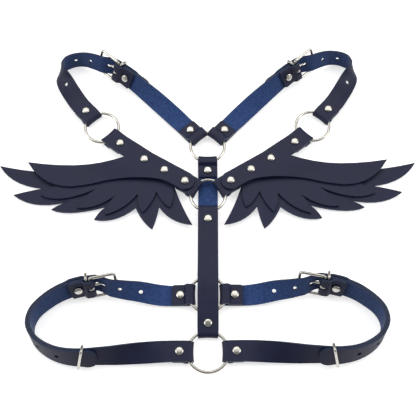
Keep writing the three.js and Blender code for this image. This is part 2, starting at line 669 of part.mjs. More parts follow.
function armPunch(distance) {
  const side = RIVET_POST + 2 * GAP;
  const geometry = new THREE.BoxGeometry(side, side, POST_HOLE_DEPTH).rotateZ(ARM_ANGLE);
  const place = armPlace(distance);
  return toSolid(geometry.translate(place.x, place.y, place.z));
}

function armRivet(distance, low, high) {
  const place = armPlace(distance);
  const geometry = toGeometry(rivetSolid(low, high)).rotateX(Math.PI / 2);
  return geometry.translate(place.x, place.y, place.z);
}

const flatProfile = (height) => [[SHEET_ABOVE, height], [SHEET_BELOW, height]];
const topProfile = [
  [SHEET_ABOVE, LAYER],
  [TOP_FLAT_TO, LAYER],
  [TOP_SUNK_FROM, TOP_SUNK],
  [SHEET_BELOW, TOP_SUNK],
];

function wingPieces() {
  const [inner, ...outer] = ARM_RIVETS;
  const route = new Route(WING_STRAP_ROUTE);
  const toShoulder = (distance) => route.length - distance;
  const shoulderRivet = toShoulder(WING_FOLD_RIVET);
  const shoulderFold = ringFold(RING_INNER, WING_SLACK);
  const line = [
    ...ringFold(RING_INNER),
    ...plainRun(RUN_FROM, toShoulder(RUN_FROM), 0, WING_STRAP_STEP),
    ...shoulderFold.map(([distance, height]) => [toShoulder(distance), height]).reverse(),
  ];
  const width = (distance) => Math.min(
    foldWidth(distance, RING_INNER), foldWidth(toShoulder(distance), RING_INNER, WING_SLACK));
  const strap = cut(strapSolid(route, line, width), [
    ...ARM_RIVETS.map((place) => armPunch(place)),
    postHole(route, shoulderRivet),
  ]);
  const half = LEATHER / 2;
  return {
    wing_base: [wingLayer(outlineShape(WING_BASE), flatProfile(-2 * LAYER), outer), leather],
    wing_middle: [wingLayer(outlineShape(WING_MIDDLE), flatProfile(-LAYER), outer), leather],
    wing_top: [wingLayer(topShape(), topProfile, ARM_RIVETS), leather],
    wing_strap: [toGeometry(strap), leather],
    rivet_wing_inner: [armRivet(inner, -LAYER - half, LAYER + half), nickel],
    rivet_wing_mid: [armRivet(outer[0], -2 * LAYER - half, LAYER + half), nickel],
    rivet_wing_outer: [armRivet(outer[1], -2 * LAYER - half, LAYER + half), nickel],
    rivet_wing_shoulder: [rivetAt(route, shoulderRivet, -LAYER - half, half), nickel],
  };
}

// Shoulders and belt, for one side

function shoulderPieces() {
  const route = new Route(SHOULDER_ROUTE);
  const run = buckledRun(route, {
    towards: -1,
    bar: route.length - SHOULDER_BUCKLE_FROM_END,
    tilt: 0,
    tail: SHOULDER_TAIL,
    step: SHOULDER_STEP,
    tongueRivetAt: TONGUE_RIVET,
    buckleRing: RING_INNER,
    buckleSlack: TOP_SLACK,
    buckleRivetAt: FOLD_RIVET,
    lowCap: RIVET_CAP,
    holes: [1, 2, 3, 4].map((i) => SHOULDER_HOLES_FROM + i * HOLE_PITCH),
  });
  const ring = ringGeometry(RING_INNER);
  ring.translate(SHOULDER_RING.out, SHOULDER_RING.up, SHOULDER_ROUTE[0].height - RING_POCKET / 2);
  return {
    shoulder_ring: [ring, nickel],
    shoulder_tongue: [run.tongue, leather],
    shoulder_strap: [run.strap, leather],
    shoulder_buckle: [run.buckle, nickel],
    shoulder_keeper: [run.keeper, nickel],
    rivet_shoulder_tongue: [run.tongueRivet, nickel],
    rivet_shoulder_top: [run.strapRivet, nickel],
    rivet_shoulder_buckle: [run.buckleRivet, nickel],
  };
}

function beltPieces() {
  const route = new Route(BELT_ROUTE);
  const bar = route.length - BELT_BUCKLE_FROM_END;
  const run = buckledRun(route, {
    towards: 1,
    bar,
    tilt: BELT_BUCKLE_TILT,
    tail: BELT_TAIL,
    step: BELT_STEP,
    tongueRivetAt: TONGUE_RIVET,
    buckleRing: BELT_RING_INNER,
    buckleSlack: 0,
    buckleRivetAt: BACK_BELT_RIVET,
    lowCap: RIVET_SMALL_CAP,
    holes: [2, 1, -2, -3, -4, -5, -6].map((i) => BELT_HOLES_FROM + i * HOLE_PITCH),
  });
  const slide = bar - BELT_TAIL + BELT_KEEPER_FROM_TIP;
  return {
    belt_tongue: [run.tongue, leather],
    belt_strap: [run.strap, leather],
    belt_buckle: [run.buckle, nickel],
    belt_keeper: [run.keeper, nickel],
    belt_slide: [keeperGeometry(route, slide, SLIDE_TILT), nickel],
    rivet_belt_front: [run.tongueRivet, nickel],
    rivet_belt_back: [run.strapRivet, nickel],
    rivet_belt_buckle: [run.buckleRivet, nickel],
  };
}

// The two straps down the middle, each folded round a ring at both ends

function middlePieces(name, rows, { endRing, endRivetAt, lowCap, step }) {
  const route = new Route(rows);
  const endRivet = route.length - endRivetAt;
  const line = [
    ...ringFold(RING_INNER),
    ...plainRun(RUN_FROM, route.length - RUN_FROM, 0, step),
    ...ringFold(endRing).map(([distance, height]) => [route.length - distance, height]).reverse(),
  ];
  const width = (distance) => Math.min(
    foldWidth(distance, RING_INNER), foldWidth(route.length - distance, endRing));
  const strap = cut(strapSolid(route, line, width), [
    postHole(route, FOLD_RIVET),
    postHole(route, endRivet),
  ]);
  const folded = [-LAYER - LEATHER / 2, LEATHER / 2];
  return {
    [`${name}_strap`]: [toGeometry(strap), leather],
    [`rivet_${name}_upper`]: [rivetAt(route, FOLD_RIVET, ...folded), nickel],
    [`rivet_${name}_lower`]: [rivetAt(route, endRivet, ...folded, { lowCap }), nickel],
  };
}

function ringAt(place, inner, height) {
  return ringGeometry(inner).translate(place.out, place.up, height);
}

// The whole harness

function addPieces(group, pieces, suffix = '') {
  for (const [name, [geometry, material]] of Object.entries(pieces)) {
    const mesh = new THREE.Mesh(geometry, material);
    mesh.name = name + suffix;
    group.add(mesh);
  }
}

function addBothSides(group, pieces) {
  addPieces(group, pieces, '_right');
  const other = Object.entries(pieces).map(
    ([name, [geometry, material]]) => [name, [mirrored(geometry), material]]);
  addPieces(group, Object.fromEntries(other), '_left');
}

const harness = new THREE.Group();
harness.position.set(CENTRE_OUT, CENTRE_UP, 0);

const upper = new THREE.Group();
upper.rotation.z = UPPER_TURN;
addBothSides(upper, wingPieces());
addBothSides(upper, shoulderPieces());
addPieces(upper, {
  top_ring: [ringAt(TOP_RING, RING_INNER, SHOULDER_ROUTE.at(-1).height + RING_POCKET / 2), nickel],
});
harness.add(upper);

const belt = new THREE.Group();
belt.position.set(BACK_BELT_RING.out, BACK_BELT_RING.up, 0);
belt.rotation.z = BELT_TURN;
const belted = new THREE.Group();
belted.position.copy(belt.position).negate();
addBothSides(belted, beltPieces());
addPieces(belted, {
  belt_ring_back: [ringAt(BACK_BELT_RING, BELT_RING_INNER, BELT_ROUTE[0].height - RING_POCKET / 2), nickel],
  belt_ring_front: [ringAt(FRONT_BELT_RING, RING_INNER, BELT_ROUTE.at(-1).height + RING_POCKET / 2), nickel],
});
belt.add(belted);
harness.add(belt);

addPieces(harness, middlePieces('spine', SPINE_ROUTE, {
  endRing: BELT_RING_INNER, endRivetAt: BACK_BELT_RIVET, lowCap: RIVET_SMALL_CAP, step: SPINE_STEP,
}));
addPieces(harness, middlePieces('chest', CHEST_ROUTE, {
  endRing: RING_INNER, endRivetAt: FOLD_RIVET, lowCap: RIVET_CAP, step: CHEST_STEP,
}));
addPieces(harness, {
  back_ring: [ringAt({ out: 0, up: 0 }, RING_INNER, BACK_HEIGHT - RING_POCKET / 2), nickel],
});

export default harness;
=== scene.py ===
import math

import bmesh
import bpy
from mathutils import Matrix, Vector


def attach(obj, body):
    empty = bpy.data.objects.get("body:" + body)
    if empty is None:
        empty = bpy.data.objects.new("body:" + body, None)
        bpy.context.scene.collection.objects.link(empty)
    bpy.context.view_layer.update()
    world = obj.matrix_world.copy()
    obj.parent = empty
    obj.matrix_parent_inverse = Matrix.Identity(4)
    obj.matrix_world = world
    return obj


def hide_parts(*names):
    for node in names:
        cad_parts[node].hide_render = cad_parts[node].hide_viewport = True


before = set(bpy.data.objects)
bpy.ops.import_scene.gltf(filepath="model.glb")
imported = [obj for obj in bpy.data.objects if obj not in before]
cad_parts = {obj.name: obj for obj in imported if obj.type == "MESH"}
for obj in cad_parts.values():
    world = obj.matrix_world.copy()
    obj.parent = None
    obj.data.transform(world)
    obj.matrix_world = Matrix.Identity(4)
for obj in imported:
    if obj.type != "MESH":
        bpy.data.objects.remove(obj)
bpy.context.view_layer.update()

# The harness lies on a table with its back side up. Sizes are in millimetres until a mesh is made.
MM = 0.001
STRAP = 20.0  # width of every strap
LEATHER = 2.2  # thickness of every leather piece
GAP = 0.3  # clearance between pieces that touch
LAYER = LEATHER + GAP  # from one stacked layer to the next
RING_WIRE = 3.2
RING_INNER = 32.0
BELT_RING_INNER = 35.0  # the ring at the back of the belt is one size larger
BUCKLE_WIRE = 3.0
BUCKLE_LENGTH = 24.0  # from the bar in the fold to the end bar
BUCKLE_PLAY = 2.2  # how much wider a buckle is inside than a strap
BUCKLE_WIDTH = STRAP + BUCKLE_PLAY + BUCKLE_WIRE
BUCKLE_CORNER = 2.5
PRONG = 2.4
PRONG_EASE = 0.1  # between the prong and the bars
PRONG_OPENS = math.radians(110)  # where its eye starts, round the bar
PRONG_PAST_BAR = 2.0
# The prong's point: each step on, in radii, and what is left of the width there
PRONG_POINT = ((0.55, 0.88), (0.4, 0.72), (0.25, 0.4))
KEEPER_WIRE = 2.8
KEEPER_PLAY = 1.0
KEEPER_HEIGHT = LAYER + LEATHER + 2 * GAP + KEEPER_WIRE
KEEPER_WIDTH = STRAP + KEEPER_PLAY + KEEPER_WIRE
KEEPER_CORNER = 1.8
RIVET_CAP = 8.0
RIVET_SMALL_CAP = 6.0  # close behind the ring at the back of the belt
RIVET_DOME = 1.6
RIVET_FLAT = 0.7  # the hidden cap beside a buckle
RIVET_POST = 3.0
# Half of a cap, as parts of its width and rise: where the crown ends, how the shoulder rounds, and the rim
CAP_CROWN = (0.2, 0.985)
CAP_SHOULDER = (0.3, 0.735)
CAP_RIM = ((0.485, 0.08), (0.42, 0.0))
POST_HOLE = RIVET_POST + 2 * GAP
POST_HOLE_REACH = 8.0  # up and down from the strap's middle
HOLE = 4.0
HOLE_PITCH = 20.0
HOLE_FROM = -10.0  # heights between which the holes are punched
HOLE_TO = 6.0
RING_POCKET = LEATHER + 2 * GAP + RING_WIRE
BUCKLE_POCKET = LEATHER + 3 * GAP + BUCKLE_WIRE

# Strap ends: distances from a ring's centre, and behind the bar of a buckle
FOLD_RIVET = 27.3
WING_FOLD_RIVET = 28.0
TONGUE_RIVET = 26.0
BACK_BELT_RIVET = 26.5
FOLD_STEP = 21.8  # where the flap starts to climb to the ring
FOLD_FOOT = 0.6  # how far the climb is rounded at its foot and head
FOLD_HEAD = 0.2
FOLD_RAMP = 2.6
FOLD_END = 34.2
FOLD_SPAN = 16.4  # width over which a fold meets its ring
FOLD_PINCH = 1.4  # the leather is squeezed by this much round a ring
PINCH_LEAD = 2.0
FOLD_CLOSE = 0.3  # how closely a fold follows its ring, from 0 to 1
FOLD_LEAD = 5.5
TOP_SLACK = 1.1  # straps that miss the ring's centre bend this much further in
WING_SLACK = 2.3
BUCKLE_FOLD_STEP = 8.0
BUCKLE_FOLD_EASE = 0.4
BUCKLE_FOLD_RAMP = 3.4
BUCKLE_FOLD_RIVET = 12.4
BUCKLE_FOLD_END = 20.5
KEEPER_BEHIND = 3.1
FLAP_CORNER = 2.4
# The slot that lets the prong through the fold
SLOT_FORWARD = 2.0
SLOT_FROM = -9.0
SLOT_TO = 4.0
SLOT_LENGTH = 11.0
SLOT_WIDTH = 5.0
# How the tongue goes through a buckle: it dips to the end bar, passes under it and rises over the fold
DIP_FROM = 46.0
DIP_TO = 5.0
UNDER_BAR = 2.5
OVER_BAR = 4.0
END_BAR_ROOM = 0.4
OVER_RIVET = LEATHER + 3 * GAP + RIVET_FLAT
OVER_MARGIN = 1.5
OVER_REACH = RIVET_CAP / 2 + OVER_MARGIN
OVER_RAMP = 5.0
PRONG_HOLE_AT = 9.0
PRONG_HOLE_LENGTH = 10.0
PRONG_HOLE_FROM = -8.0
TIP_LENGTH = 9.0
TIP_FLAT = 7.0

# How finely each form is divided
STRAP_COLUMNS = 8
STATION = 3.5  # between the cross lines of a plain run
SOFT_STATION = 2.0  # and of a soft step
ROUTE_STEPS = 16
CLIMB_STEPS = 6
TURN_STEPS = 10
TIP_STEPS = 7
FLAP_STEPS = 4
HOLE_SIDES = 20
OUTLINE_STEPS = 7
ARM_END_STEPS = 16
TOP_FALL_STEPS = 10
RIVET_STEPS = 32
CAP_STEPS = 7
RING_SIDES = 16
RING_STEPS = 72
WIRE_SIDES = 12
CORNER_STEPS = 5
EYE_STEPS = 14
EDGE_ROUND = 0.4  # rubbed edges of the leather
EDGE_STEPS = 2
RUBBED_ABOVE = math.radians(55)  # edges sharper than this are rubbed
LEATHER_SMOOTH = math.radians(60)
METAL_SMOOTH = math.radians(50)
NEAR = 0.01  # points closer than this are one
LINE_REACH = 0.3  # how far a point may lie from its line along the strap
SAME = 1e-6  # lengths that differ by less are taken as the same
# Places of the suede back and the cut edge in a leather piece's list of finishes
FLESH_SIDE = 1
CUT_EDGE = 2

UPPER_TURN = math.radians(0.5)  # the shoulders and wings lie a little turned
BELT_TURN = math.radians(0.5)  # and the belt too, about the ring at its back
SLIDE_TILT = math.radians(11.5)
BELT_BUCKLE_TILT = math.radians(3)
ARM_ANGLE = math.radians(31.5)  # how steeply the wings' arms climb outwards
ARM_RIVETS = (FOLD_RIVET, 52.0, 76.5)
WING_FALL = 0.02  # the wings sink outwards by this slope
BACK_HEIGHT = 10.4  # heights of straps over the table
FRONT_HEIGHT = 3.16
SHOULDER_HEIGHT = 7.7
BELT_HEIGHT = 7.2
FLAT_HEIGHT = LEATHER / 2
BACK_RING_AT = Vector((0.4, 6.4, 0.0))
BACK_RING = (0.0, 0.0)
TOP_RING = (0.0, 56.8)
SHOULDER_RING = (111.6, 82.0)
FRONT_BELT_RING = (0.0, -105.0)
BACK_BELT_RING = (0.0, -160.0)

# Strap routes from the back ring: out to the side, up, height over the table, and lean in degrees
SHOULDER_ROUTE = (
    (111.6, 82, SHOULDER_HEIGHT, 0), (124.6, 96, SHOULDER_HEIGHT, 0), (136.2, 108.9, SHOULDER_HEIGHT, 0),
    (145.2, 122.5, 7.8, 12), (153.4, 136.5, 8.6, 28), (157.5, 145, 10, 48), (158.6, 153, 11, 77),
    (152.4, 161.4, 11, 94), (141.3, 167, 11.6, 98), (127.6, 167.4, 13, 104), (109.6, 159.2, 14.2, 111),
    (92, 144.8, 14.2, 113), (71.5, 127.8, 11.8, 127), (50, 108.8, 8.2, 147), (26, 86.2, 3.2, 180),
    (13.9, 72.9, FRONT_HEIGHT, 180), (-0.4, 57.6, FRONT_HEIGHT, 180),
)
SHOULDER_BUCKLE_FROM_END = 133.0
SHOULDER_TAIL = 40.0
SHOULDER_HOLES_FROM = 14.5
SHOULDER_HOLES = [SHOULDER_HOLES_FROM + HOLE_PITCH * place for place in (1, 2, 3, 4)]
BELT_ROUTE = (
    (0, -160, BELT_HEIGHT, 0), (20, -160, BELT_HEIGHT, 0), (38, -160, BELT_HEIGHT, 0), (64.5, -162, 9.6, 30),
    (92, -164.7, 12.4, 52), (121.5, -165.3, 13.2, 65), (139, -161.8, 12.2, 72), (152.5, -154.6, 11.2, 79),
    (160.9, -146.2, 11.2, 85), (164.8, -135.4, 11.2, 92), (161.4, -123.6, 11.6, 100),
    (151.4, -113.4, 12.4, 106), (137.6, -104.8, 13.6, 110), (118.6, -98.9, 14.6, 113),
    (95.4, -96.3, 14.3, 115), (72.3, -99.8, 10.6, 138), (50.3, -104.3, 6, 162), (36, -105, 3.2, 180),
    (20, -105, FRONT_HEIGHT, 180), (0, -105, FRONT_HEIGHT, 180),
)
BELT_BUCKLE_FROM_END = 112.4
BELT_TAIL = 148.0
BELT_HOLES_FROM = 8.0
BELT_HOLES = [BELT_HOLES_FROM + HOLE_PITCH * place for place in (2, 1, -2, -3, -4, -5, -6)]
SLIDE_FROM_TIP = 15.0
SPINE_ROUTE = (
    (0, 0, BACK_HEIGHT, 0), (0, -20, BACK_HEIGHT, 0), (0, -38, BACK_HEIGHT, 0), (0, -62, 11, 0),
    (0, -82, 11.9, 0), (0, -98, 11.9, 0), (0, -122, 9.3, 0), (0, -140, 7.3, 0), (0, -160, BELT_HEIGHT, 0),
)
CHEST_ROUTE = (
    (-0.6, 56.8, FRONT_HEIGHT, 180), (-0.4, 38, FRONT_HEIGHT, 180), (-0.3, 28, FRONT_HEIGHT, 180),
    (-0.1, 18, 1.6, 180), (0, 9, 1.2, 180), (0, 0, FLAT_HEIGHT, 180), (0, -8, FLAT_HEIGHT, 180),
    (0, -46, FLAT_HEIGHT, 180), (0, -54, FLAT_HEIGHT, 180), (0, -62, 1.3, 180),
    (-0.1, -74, FRONT_HEIGHT, 180), (-0.2, -84, FRONT_HEIGHT, 180), (-0.5, -105, FRONT_HEIGHT, 180),
)
WING_STRAP_ROUTE = (
    (0, 0, BACK_HEIGHT, 0), (34.1, 20.9, 9.6, 0), (56, 35.2, 9.1, 0), (78.6, 51.8, 8.5, 0),
    (92.4, 62.2, SHOULDER_HEIGHT, 0), (112.1, 80, SHOULDER_HEIGHT, 0),
)

# Outlines of the wings' layers from the back ring: where each edge ends, and the point that it bends past
WING_BASE = (
    ((34.7, 12.8), None), ((16, -31.5), (27, -12)), ((49.5, -11.5), (38, -29.5)), ((56, -36), (52, -26)),
    ((73.3, -12), (66.5, -28)), ((114.6, -24.6), (92.5, -29)), ((102.4, -10), (110, -15)),
    ((158.6, -12.6), (141, -21)), ((141.4, -3.7), (151, -6.8)), ((198.6, 4.6), (177.5, -13.3)),
    ((168, 11.5), (183, 9.2)), ((216, 38.6), (201.5, 14.8)), ((180, 31.5), (198, 34)), ((138, 29), None),
    ((83, 42.5), None), ((57, 45.5), None), ((38, 31), None),
)
WING_MIDDLE = (
    ((35.2, 12.3), None), ((38.4, -13.2), (33.5, -5)), ((52.4, 4.5), (45, -10.5)),
    ((65.9, -18.7), (57.5, -10)), ((71.1, 2.5), (71.5, -10)), ((103.2, -20.1), (84.5, -15.5)),
    ((93.4, 1.5), (101.7, -7)), ((132.3, -12.2), (113, -14.5)), ((112.9, 9.3), (127, 0)),
    ((169.9, 2.6), (150.5, -8.8)), ((150, 16), (162.5, 10)), ((125, 27), None), ((83, 42.5), None),
    ((57, 45.5), None), ((38, 31), None),
)
WING_TOP = (
    ((40, 12.8), None), ((78, 19.2), (50.5, 19.2)), ((110, 15.4), (96, 19.2)), ((139.7, 10.5), (124, 11.6)),
    ((186, 39.8), (168.5, 10.8)), ((84.4, 43.8), (126, 29)), ((60, 46.9), None), ((55, 45.8), (57, 47)),
)
# How far the wings' sheets reach, by distance below the arm's middle line
SHEET_FROM = -40.0
SHEET_TO = 130.0
TOP_FLAT_TO = 10.8  # beyond the strap under its arm the top layer sinks
TOP_SUNK_FROM = 42.0
TOP_SUNK = 0.05  # and lies at this height over the strap's middle

# Colours between which each finish changes
NAVY_GRAIN = ((0.0095, 0.0120, 0.038), (0.0145, 0.0180, 0.054))
BLUE_SUEDE = ((0.011, 0.032, 0.120), (0.038, 0.090, 0.270))
DARK_EDGE = ((0.007, 0.014, 0.040), (0.014, 0.028, 0.075))
BRIGHT_NICKEL = ((0.60, 0.58, 0.535), (0.50, 0.48, 0.44))

# The camera: its rise, distance in metres, lens and film. Then the table, in metres, and the light
CAMERA_RISE = math.radians(65)
CAMERA_AWAY = 0.78
CAMERA_LENS = 66.46
CAMERA_SENSOR = 36
LOOK_BELOW_RING = 10.6
TABLE_SIZE = 40
TABLE_GLOW = 0.55
ROOM_LIGHT = 0.26


# Materials


class Shade:
    """A socket of a material's nodes that can be used in expressions like a number."""

    def __init__(self, tree, socket=None):
        self.tree = tree
        self.socket = socket

    def node(self, kind, settings, sockets, output=0):
        made = self.tree.nodes.new("ShaderNode" + kind)
        for name, value in settings.items():
            setattr(made, name, value)
        for place, value in sockets.items():
            if isinstance(value, Shade):
                self.tree.links.new(value.socket, made.inputs[place])
            else:
                made.inputs[place].default_value = value
        return Shade(self.tree, made.outputs[output])

    def maths(self, operation, first, second):
        return self.node("Math", {"operation": operation}, {0: first, 1: second})

    def __add__(self, other):
        return self.maths("ADD", self, other)

    def __radd__(self, other):
        return self.maths("ADD", other, self)

    def __sub__(self, other):
        return self.maths("SUBTRACT", self, other)

    def __rsub__(self, other):
        return self.maths("SUBTRACT", other, self)

    def __mul__(self, other):
        return self.maths("MULTIPLY", self, other)

    def __rmul__(self, other):
        return self.maths("MULTIPLY", other, self)


def new_finish(name):
    """An empty material with its surface shader, and the place on the object that its patterns read."""
    finish = bpy.data.materials.new(name)
    finish.use_nodes = True
    surface = finish.node_tree.nodes["Principled BSDF"]
    start = Shade(finish.node_tree)
    place = start.node("TexCoord", {}, {}, "Object")
    return finish, surface, place


def noise(place, scale, detail=3.0, roughness=0.55):
    sockets = {"Vector": place, "Scale": scale, "Detail": detail, "Roughness": roughness}
    return place.node("TexNoise", {}, sockets)


def cells(place, scale, feature):
    return place.node("TexVoronoi", {"feature": feature}, {"Vector": place, "Scale": scale})


def spread(value, low, high):
    """Stretches the middle of a pattern, between two of its values, over 0 to 1."""
    return value.node("MapRange", {}, {"Value": value, "From Min": low, "From Max": high})


def blend(amount, first, second):
    sockets = {"Factor": amount, "A": (*first, 1), "B": (*second, 1)}
    return amount.node("Mix", {"data_type": "RGBA"}, sockets, 2)


def bump(height, strength, distance):
    return height.node("Bump", {}, {"Height": height, "Strength": strength, "Distance": distance})


def wire_up(surface, sockets):
    for name, value in sockets.items():
        if isinstance(value, Shade):
            value.tree.links.new(value.socket, surface.inputs[name])
        else:
            surface.inputs[name].default_value = value


def grain_leather():
    """The dyed face of the hide: dark navy, satin, with a fine pebble and faint cloudy dye."""
    finish, surface, place = new_finish("navy_grain")
    cloud = spread(noise(place, 45.0), 0.3, 0.7)
    pebble = spread(cells(place, 950.0, "DISTANCE_TO_EDGE"), 0.0, 0.35)
    pores = noise(place, 2600.0, 2.0)
    wired = {
        "Base Color": blend(cloud * 0.7 + pebble * 0.3, *NAVY_GRAIN),
        "Roughness": 0.42 + cloud * 0.06 + (1 - pebble) * 0.08,
        "Normal": bump(pebble * 0.7 + pores * 0.3, 0.22, 0.00012),
        "Specular IOR Level": 0.28,
    }
    wire_up(surface, wired)
    return finish


def flesh_leather():
    """The suede back of the hide: brighter blue, matt, with short fibres."""
    finish, surface, place = new_finish("blue_suede")
    cloud = spread(noise(place, 380.0, 4.0), 0.3, 0.7)
    fibre = spread(noise(place, 1500.0, 4.0, 0.7), 0.3, 0.7)
    wired = {
        "Base Color": blend(cloud * 0.6 + fibre * 0.4, *BLUE_SUEDE),
        "Roughness": 0.82 + fibre * 0.15,
        "Normal": bump(fibre, 0.5, 0.0002),
        "Specular IOR Level": 0.25,
        "Sheen Weight": 0.25,
        "Sheen Roughness": 0.5,
    }
    wire_up(surface, wired)
    return finish


def edge_leather():
    """The dyed and rubbed cut edge."""
    finish, surface, place = new_finish("dark_edge")
    streak = spread(noise(place, 700.0, 3.0), 0.3, 0.7)
    wired = {
        "Base Color": blend(streak, *DARK_EDGE),
        "Roughness": 0.42 + streak * 0.2,
        "Normal": bump(streak, 0.2, 0.0001),
        "Specular IOR Level": 0.4,
    }
    wire_up(surface, wired)
    return finish


def nickel_plate():
    """Bright nickel with a little warm tint, handling haze and hair scratches."""
    finish, surface, place = new_finish("nickel")
    haze = spread(noise(place, 160.0, 4.0), 0.35, 0.7)
    scratches = spread(noise(place, 2200.0, 2.0), 0.45, 0.6)
    wired = {
        "Base Color": blend(haze, *BRIGHT_NICKEL),
        "Metallic": 1.0,
        "Roughness": 0.20 + haze * 0.10 + scratches * 0.04,
        "Normal": bump(scratches, 0.06, 0.00005),
    }
    wire_up(surface, wired)
    return finish


# Hand tools


def deselect():
    bpy.ops.object.select_all(action="DESELECT")


def begin(name):
    """Opens the primitive just added for shaping, all of it selected."""
    piece = bpy.context.object
    piece.name = name
    bpy.ops.object.transform_apply(location=True, rotation=True, scale=True)
    bpy.ops.object.mode_set(mode="EDIT")
    bpy.ops.mesh.select_mode(type="VERT")
    bpy.ops.mesh.select_all(action="SELECT")
    return piece


def pick(piece, test):
    """Selects the points whose place passes a test."""
    bpy.ops.mesh.select_all(action="DESELECT")
    shape = bmesh.from_edit_mesh(piece.data)
    for point in shape.verts:
        if test(point.co):
            point.select_set(True)
    shape.select_flush(True)
    bmesh.update_edit_mesh(piece.data)


def push(step):
    bpy.ops.mesh.extrude_region_move(TRANSFORM_OT_translate={"value": step})


def close():
    """Merges doubled points, turns every face outwards and leaves the piece."""
    bpy.ops.mesh.select_all(action="SELECT")
    bpy.ops.mesh.remove_doubles(threshold=NEAR * MM)
    bpy.ops.mesh.normals_make_consistent(inside=False)
    bpy.ops.object.mode_set(mode="OBJECT")


def take(piece):
    deselect()
    piece.select_set(True)
    bpy.context.view_layer.objects.active = piece


def apply_modifiers(piece):
    take(piece)
    for name in [modifier.name for modifier in piece.modifiers]:
        bpy.ops.object.modifier_apply(modifier=name)


def join(first, others):
    take(first)
    for other in others:
        other.select_set(True)
    bpy.ops.object.join()
    return first


def copy_of(piece, name):
    take(piece)
    bpy.ops.object.duplicate(linked=False)
    copy = bpy.context.object
    copy.name = name
    return copy


def set_down(piece, matrix):
    """Moves a piece to its place and leaves the place in its mesh."""
    take(piece)
    piece.matrix_world = matrix
    bpy.ops.object.transform_apply(location=True, rotation=True, scale=True)
    if matrix.determinant() < 0:
        bpy.ops.object.mode_set(mode="EDIT")
        bpy.ops.mesh.select_all(action="SELECT")
        bpy.ops.mesh.normals_make_consistent(inside=False)
        bpy.ops.object.mode_set(mode="OBJECT")


# Routes


class Route:
    """A strap's middle line in the air, with its lean."""

    def __init__(self, rows):
        points = [Vector(row[:3]) * MM for row in rows]
        leans = [math.radians(row[3]) for row in rows]
        points = [2 * points[0] - points[1], *points, 2 * points[-1] - points[-2]]
        self.points = []
        self.leans = []
        for row in range(len(rows) - 1):
            last = row == len(rows) - 2
            for step in range(ROUTE_STEPS + last):
                part = step / ROUTE_STEPS
                self.points.append(self.between(points[row:row + 4], part))
                self.leans.append(leans[row] + (leans[row + 1] - leans[row]) * part)
        self.distances = [0.0]
        for before, after in zip(self.points, self.points[1:]):
            self.distances.append(self.distances[-1] + (after - before).length)
        self.length = self.distances[-1] / MM

    @staticmethod
    def between(points, part):
        """A centripetal Catmull-Rom curve between the second and third of four points."""
        first, second, third, fourth = points
        before, here, after = (math.sqrt((b - a).length) for a, b in zip(points, points[1:]))
        leave = (second - first) / before - (third - first) / (before + here) + (third - second) / here
        arrive = (third - second) / here - (fourth - second) / (here + after) + (fourth - third) / after
        leave *= here
        arrive *= here
        square = 3 * (third - second) - 2 * leave - arrive
        cube = 2 * (second - third) + leave + arrive
        return second + part * (leave + part * (square + part * cube))

    def matrix(self, distance, outwards):
        """A place on the strap: x along it, y across it and z out of its grain side."""
        here = min(max(distance * MM, 0.0), self.distances[-1])
        after = next(i for i, far in enumerate(self.distances) if far >= here and i > 0)
        before = after - 1
        part = (here - self.distances[before]) / (self.distances[after] - self.distances[before])
        point = self.points[before].lerp(self.points[after], part)
        lean = self.leans[before] + (self.leans[after] - self.leans[before]) * part
        along = (self.points[after] - self.points[before]).normalized()
        level = Vector((0, 0, 1)).cross(along).normalized()
        across = level * math.cos(lean) + along.cross(level) * math.sin(lean)
        out = along.cross(across)
        turned = Matrix((along, across, out)).transposed().to_4x4()
        return Matrix.Translation(point + out * outwards * MM) @ turned

    def guide(self):
        """The route as a curve that a flat strap can be bent along."""
        line = bpy.data.curves.new("route", "CURVE")
        line.dimensions = "3D"
        line.twist_mode = "Z_UP"
        spline = line.splines.new("POLY")
        spline.points.add(len(self.points) - 1)
        for point, place, lean in zip(spline.points, self.points, self.leans):
            point.co = (*place, 1)
            point.tilt = lean
        guide = bpy.data.objects.new("route", line)
        bpy.context.collection.objects.link(guide)
        return guide


# Leather


def ease(start, end, steps):
    """Points of a soft step from one [distance, height] to another, without its start."""
    points = []
    for step in range(1, steps + 1):
        part = step / steps
        rise = (1 - math.cos(math.pi * part)) / 2
        points.append((start[0] + (end[0] - start[0]) * part, start[1] + (end[1] - start[1]) * rise))
    return points


def run(start, end):
    """Even stations of a plain run, without its start."""
    count = max(1, math.ceil(abs(end[0] - start[0]) / STATION))
    return [
        (start[0] + (end[0] - start[0]) * step / count, start[1] + (end[1] - start[1]) * step / count)
        for step in range(1, count + 1)
    ]


def fold_turn(centre, towards, pocket):
    """The bend of a fold, from under it to over it."""
    points = []
    for step in range(TURN_STEPS + 1):
        angle = math.pi * step / TURN_STEPS
        points.append((centre + towards * math.sin(angle) * pocket / 2, -pocket / 2 * (1 + math.cos(angle))))
    return points


def ring_bend(inner, slack):
    """Where the edges of a strap bend round a ring, which they meet before its middle does."""
    return math.sqrt(inner ** 2 - FOLD_SPAN ** 2) / 2 + RING_WIRE / 2 - GAP / 2 - slack


def ring_fold(inner, slack):
    """The folded end round a ring, by distance from the ring's centre."""
    step = FOLD_STEP + (inner - RING_INNER) / 2
    bend = ring_bend(inner, slack)
    start = (FOLD_END, -LAYER)
    foot = (step + FOLD_FOOT, -LAYER)
    head = (step - FOLD_RAMP - FOLD_HEAD, -RING_POCKET)
    flap = [start, *run(start, foot), *ease(foot, head, CLIMB_STEPS)]
    return [*flap, *fold_turn(bend, -1, RING_POCKET), (bend + FOLD_LEAD, 0.0)]


def fold_width(from_ring, inner, slack):
    """The leather is squeezed where it bends round a ring."""
    depth = (ring_bend(inner, slack) + PINCH_LEAD - from_ring) / (RING_POCKET / 2 + PINCH_LEAD)
    depth = min(max(depth, 0.0), 1.0)
    return STRAP - FOLD_PINCH * depth * depth * (3 - 2 * depth)


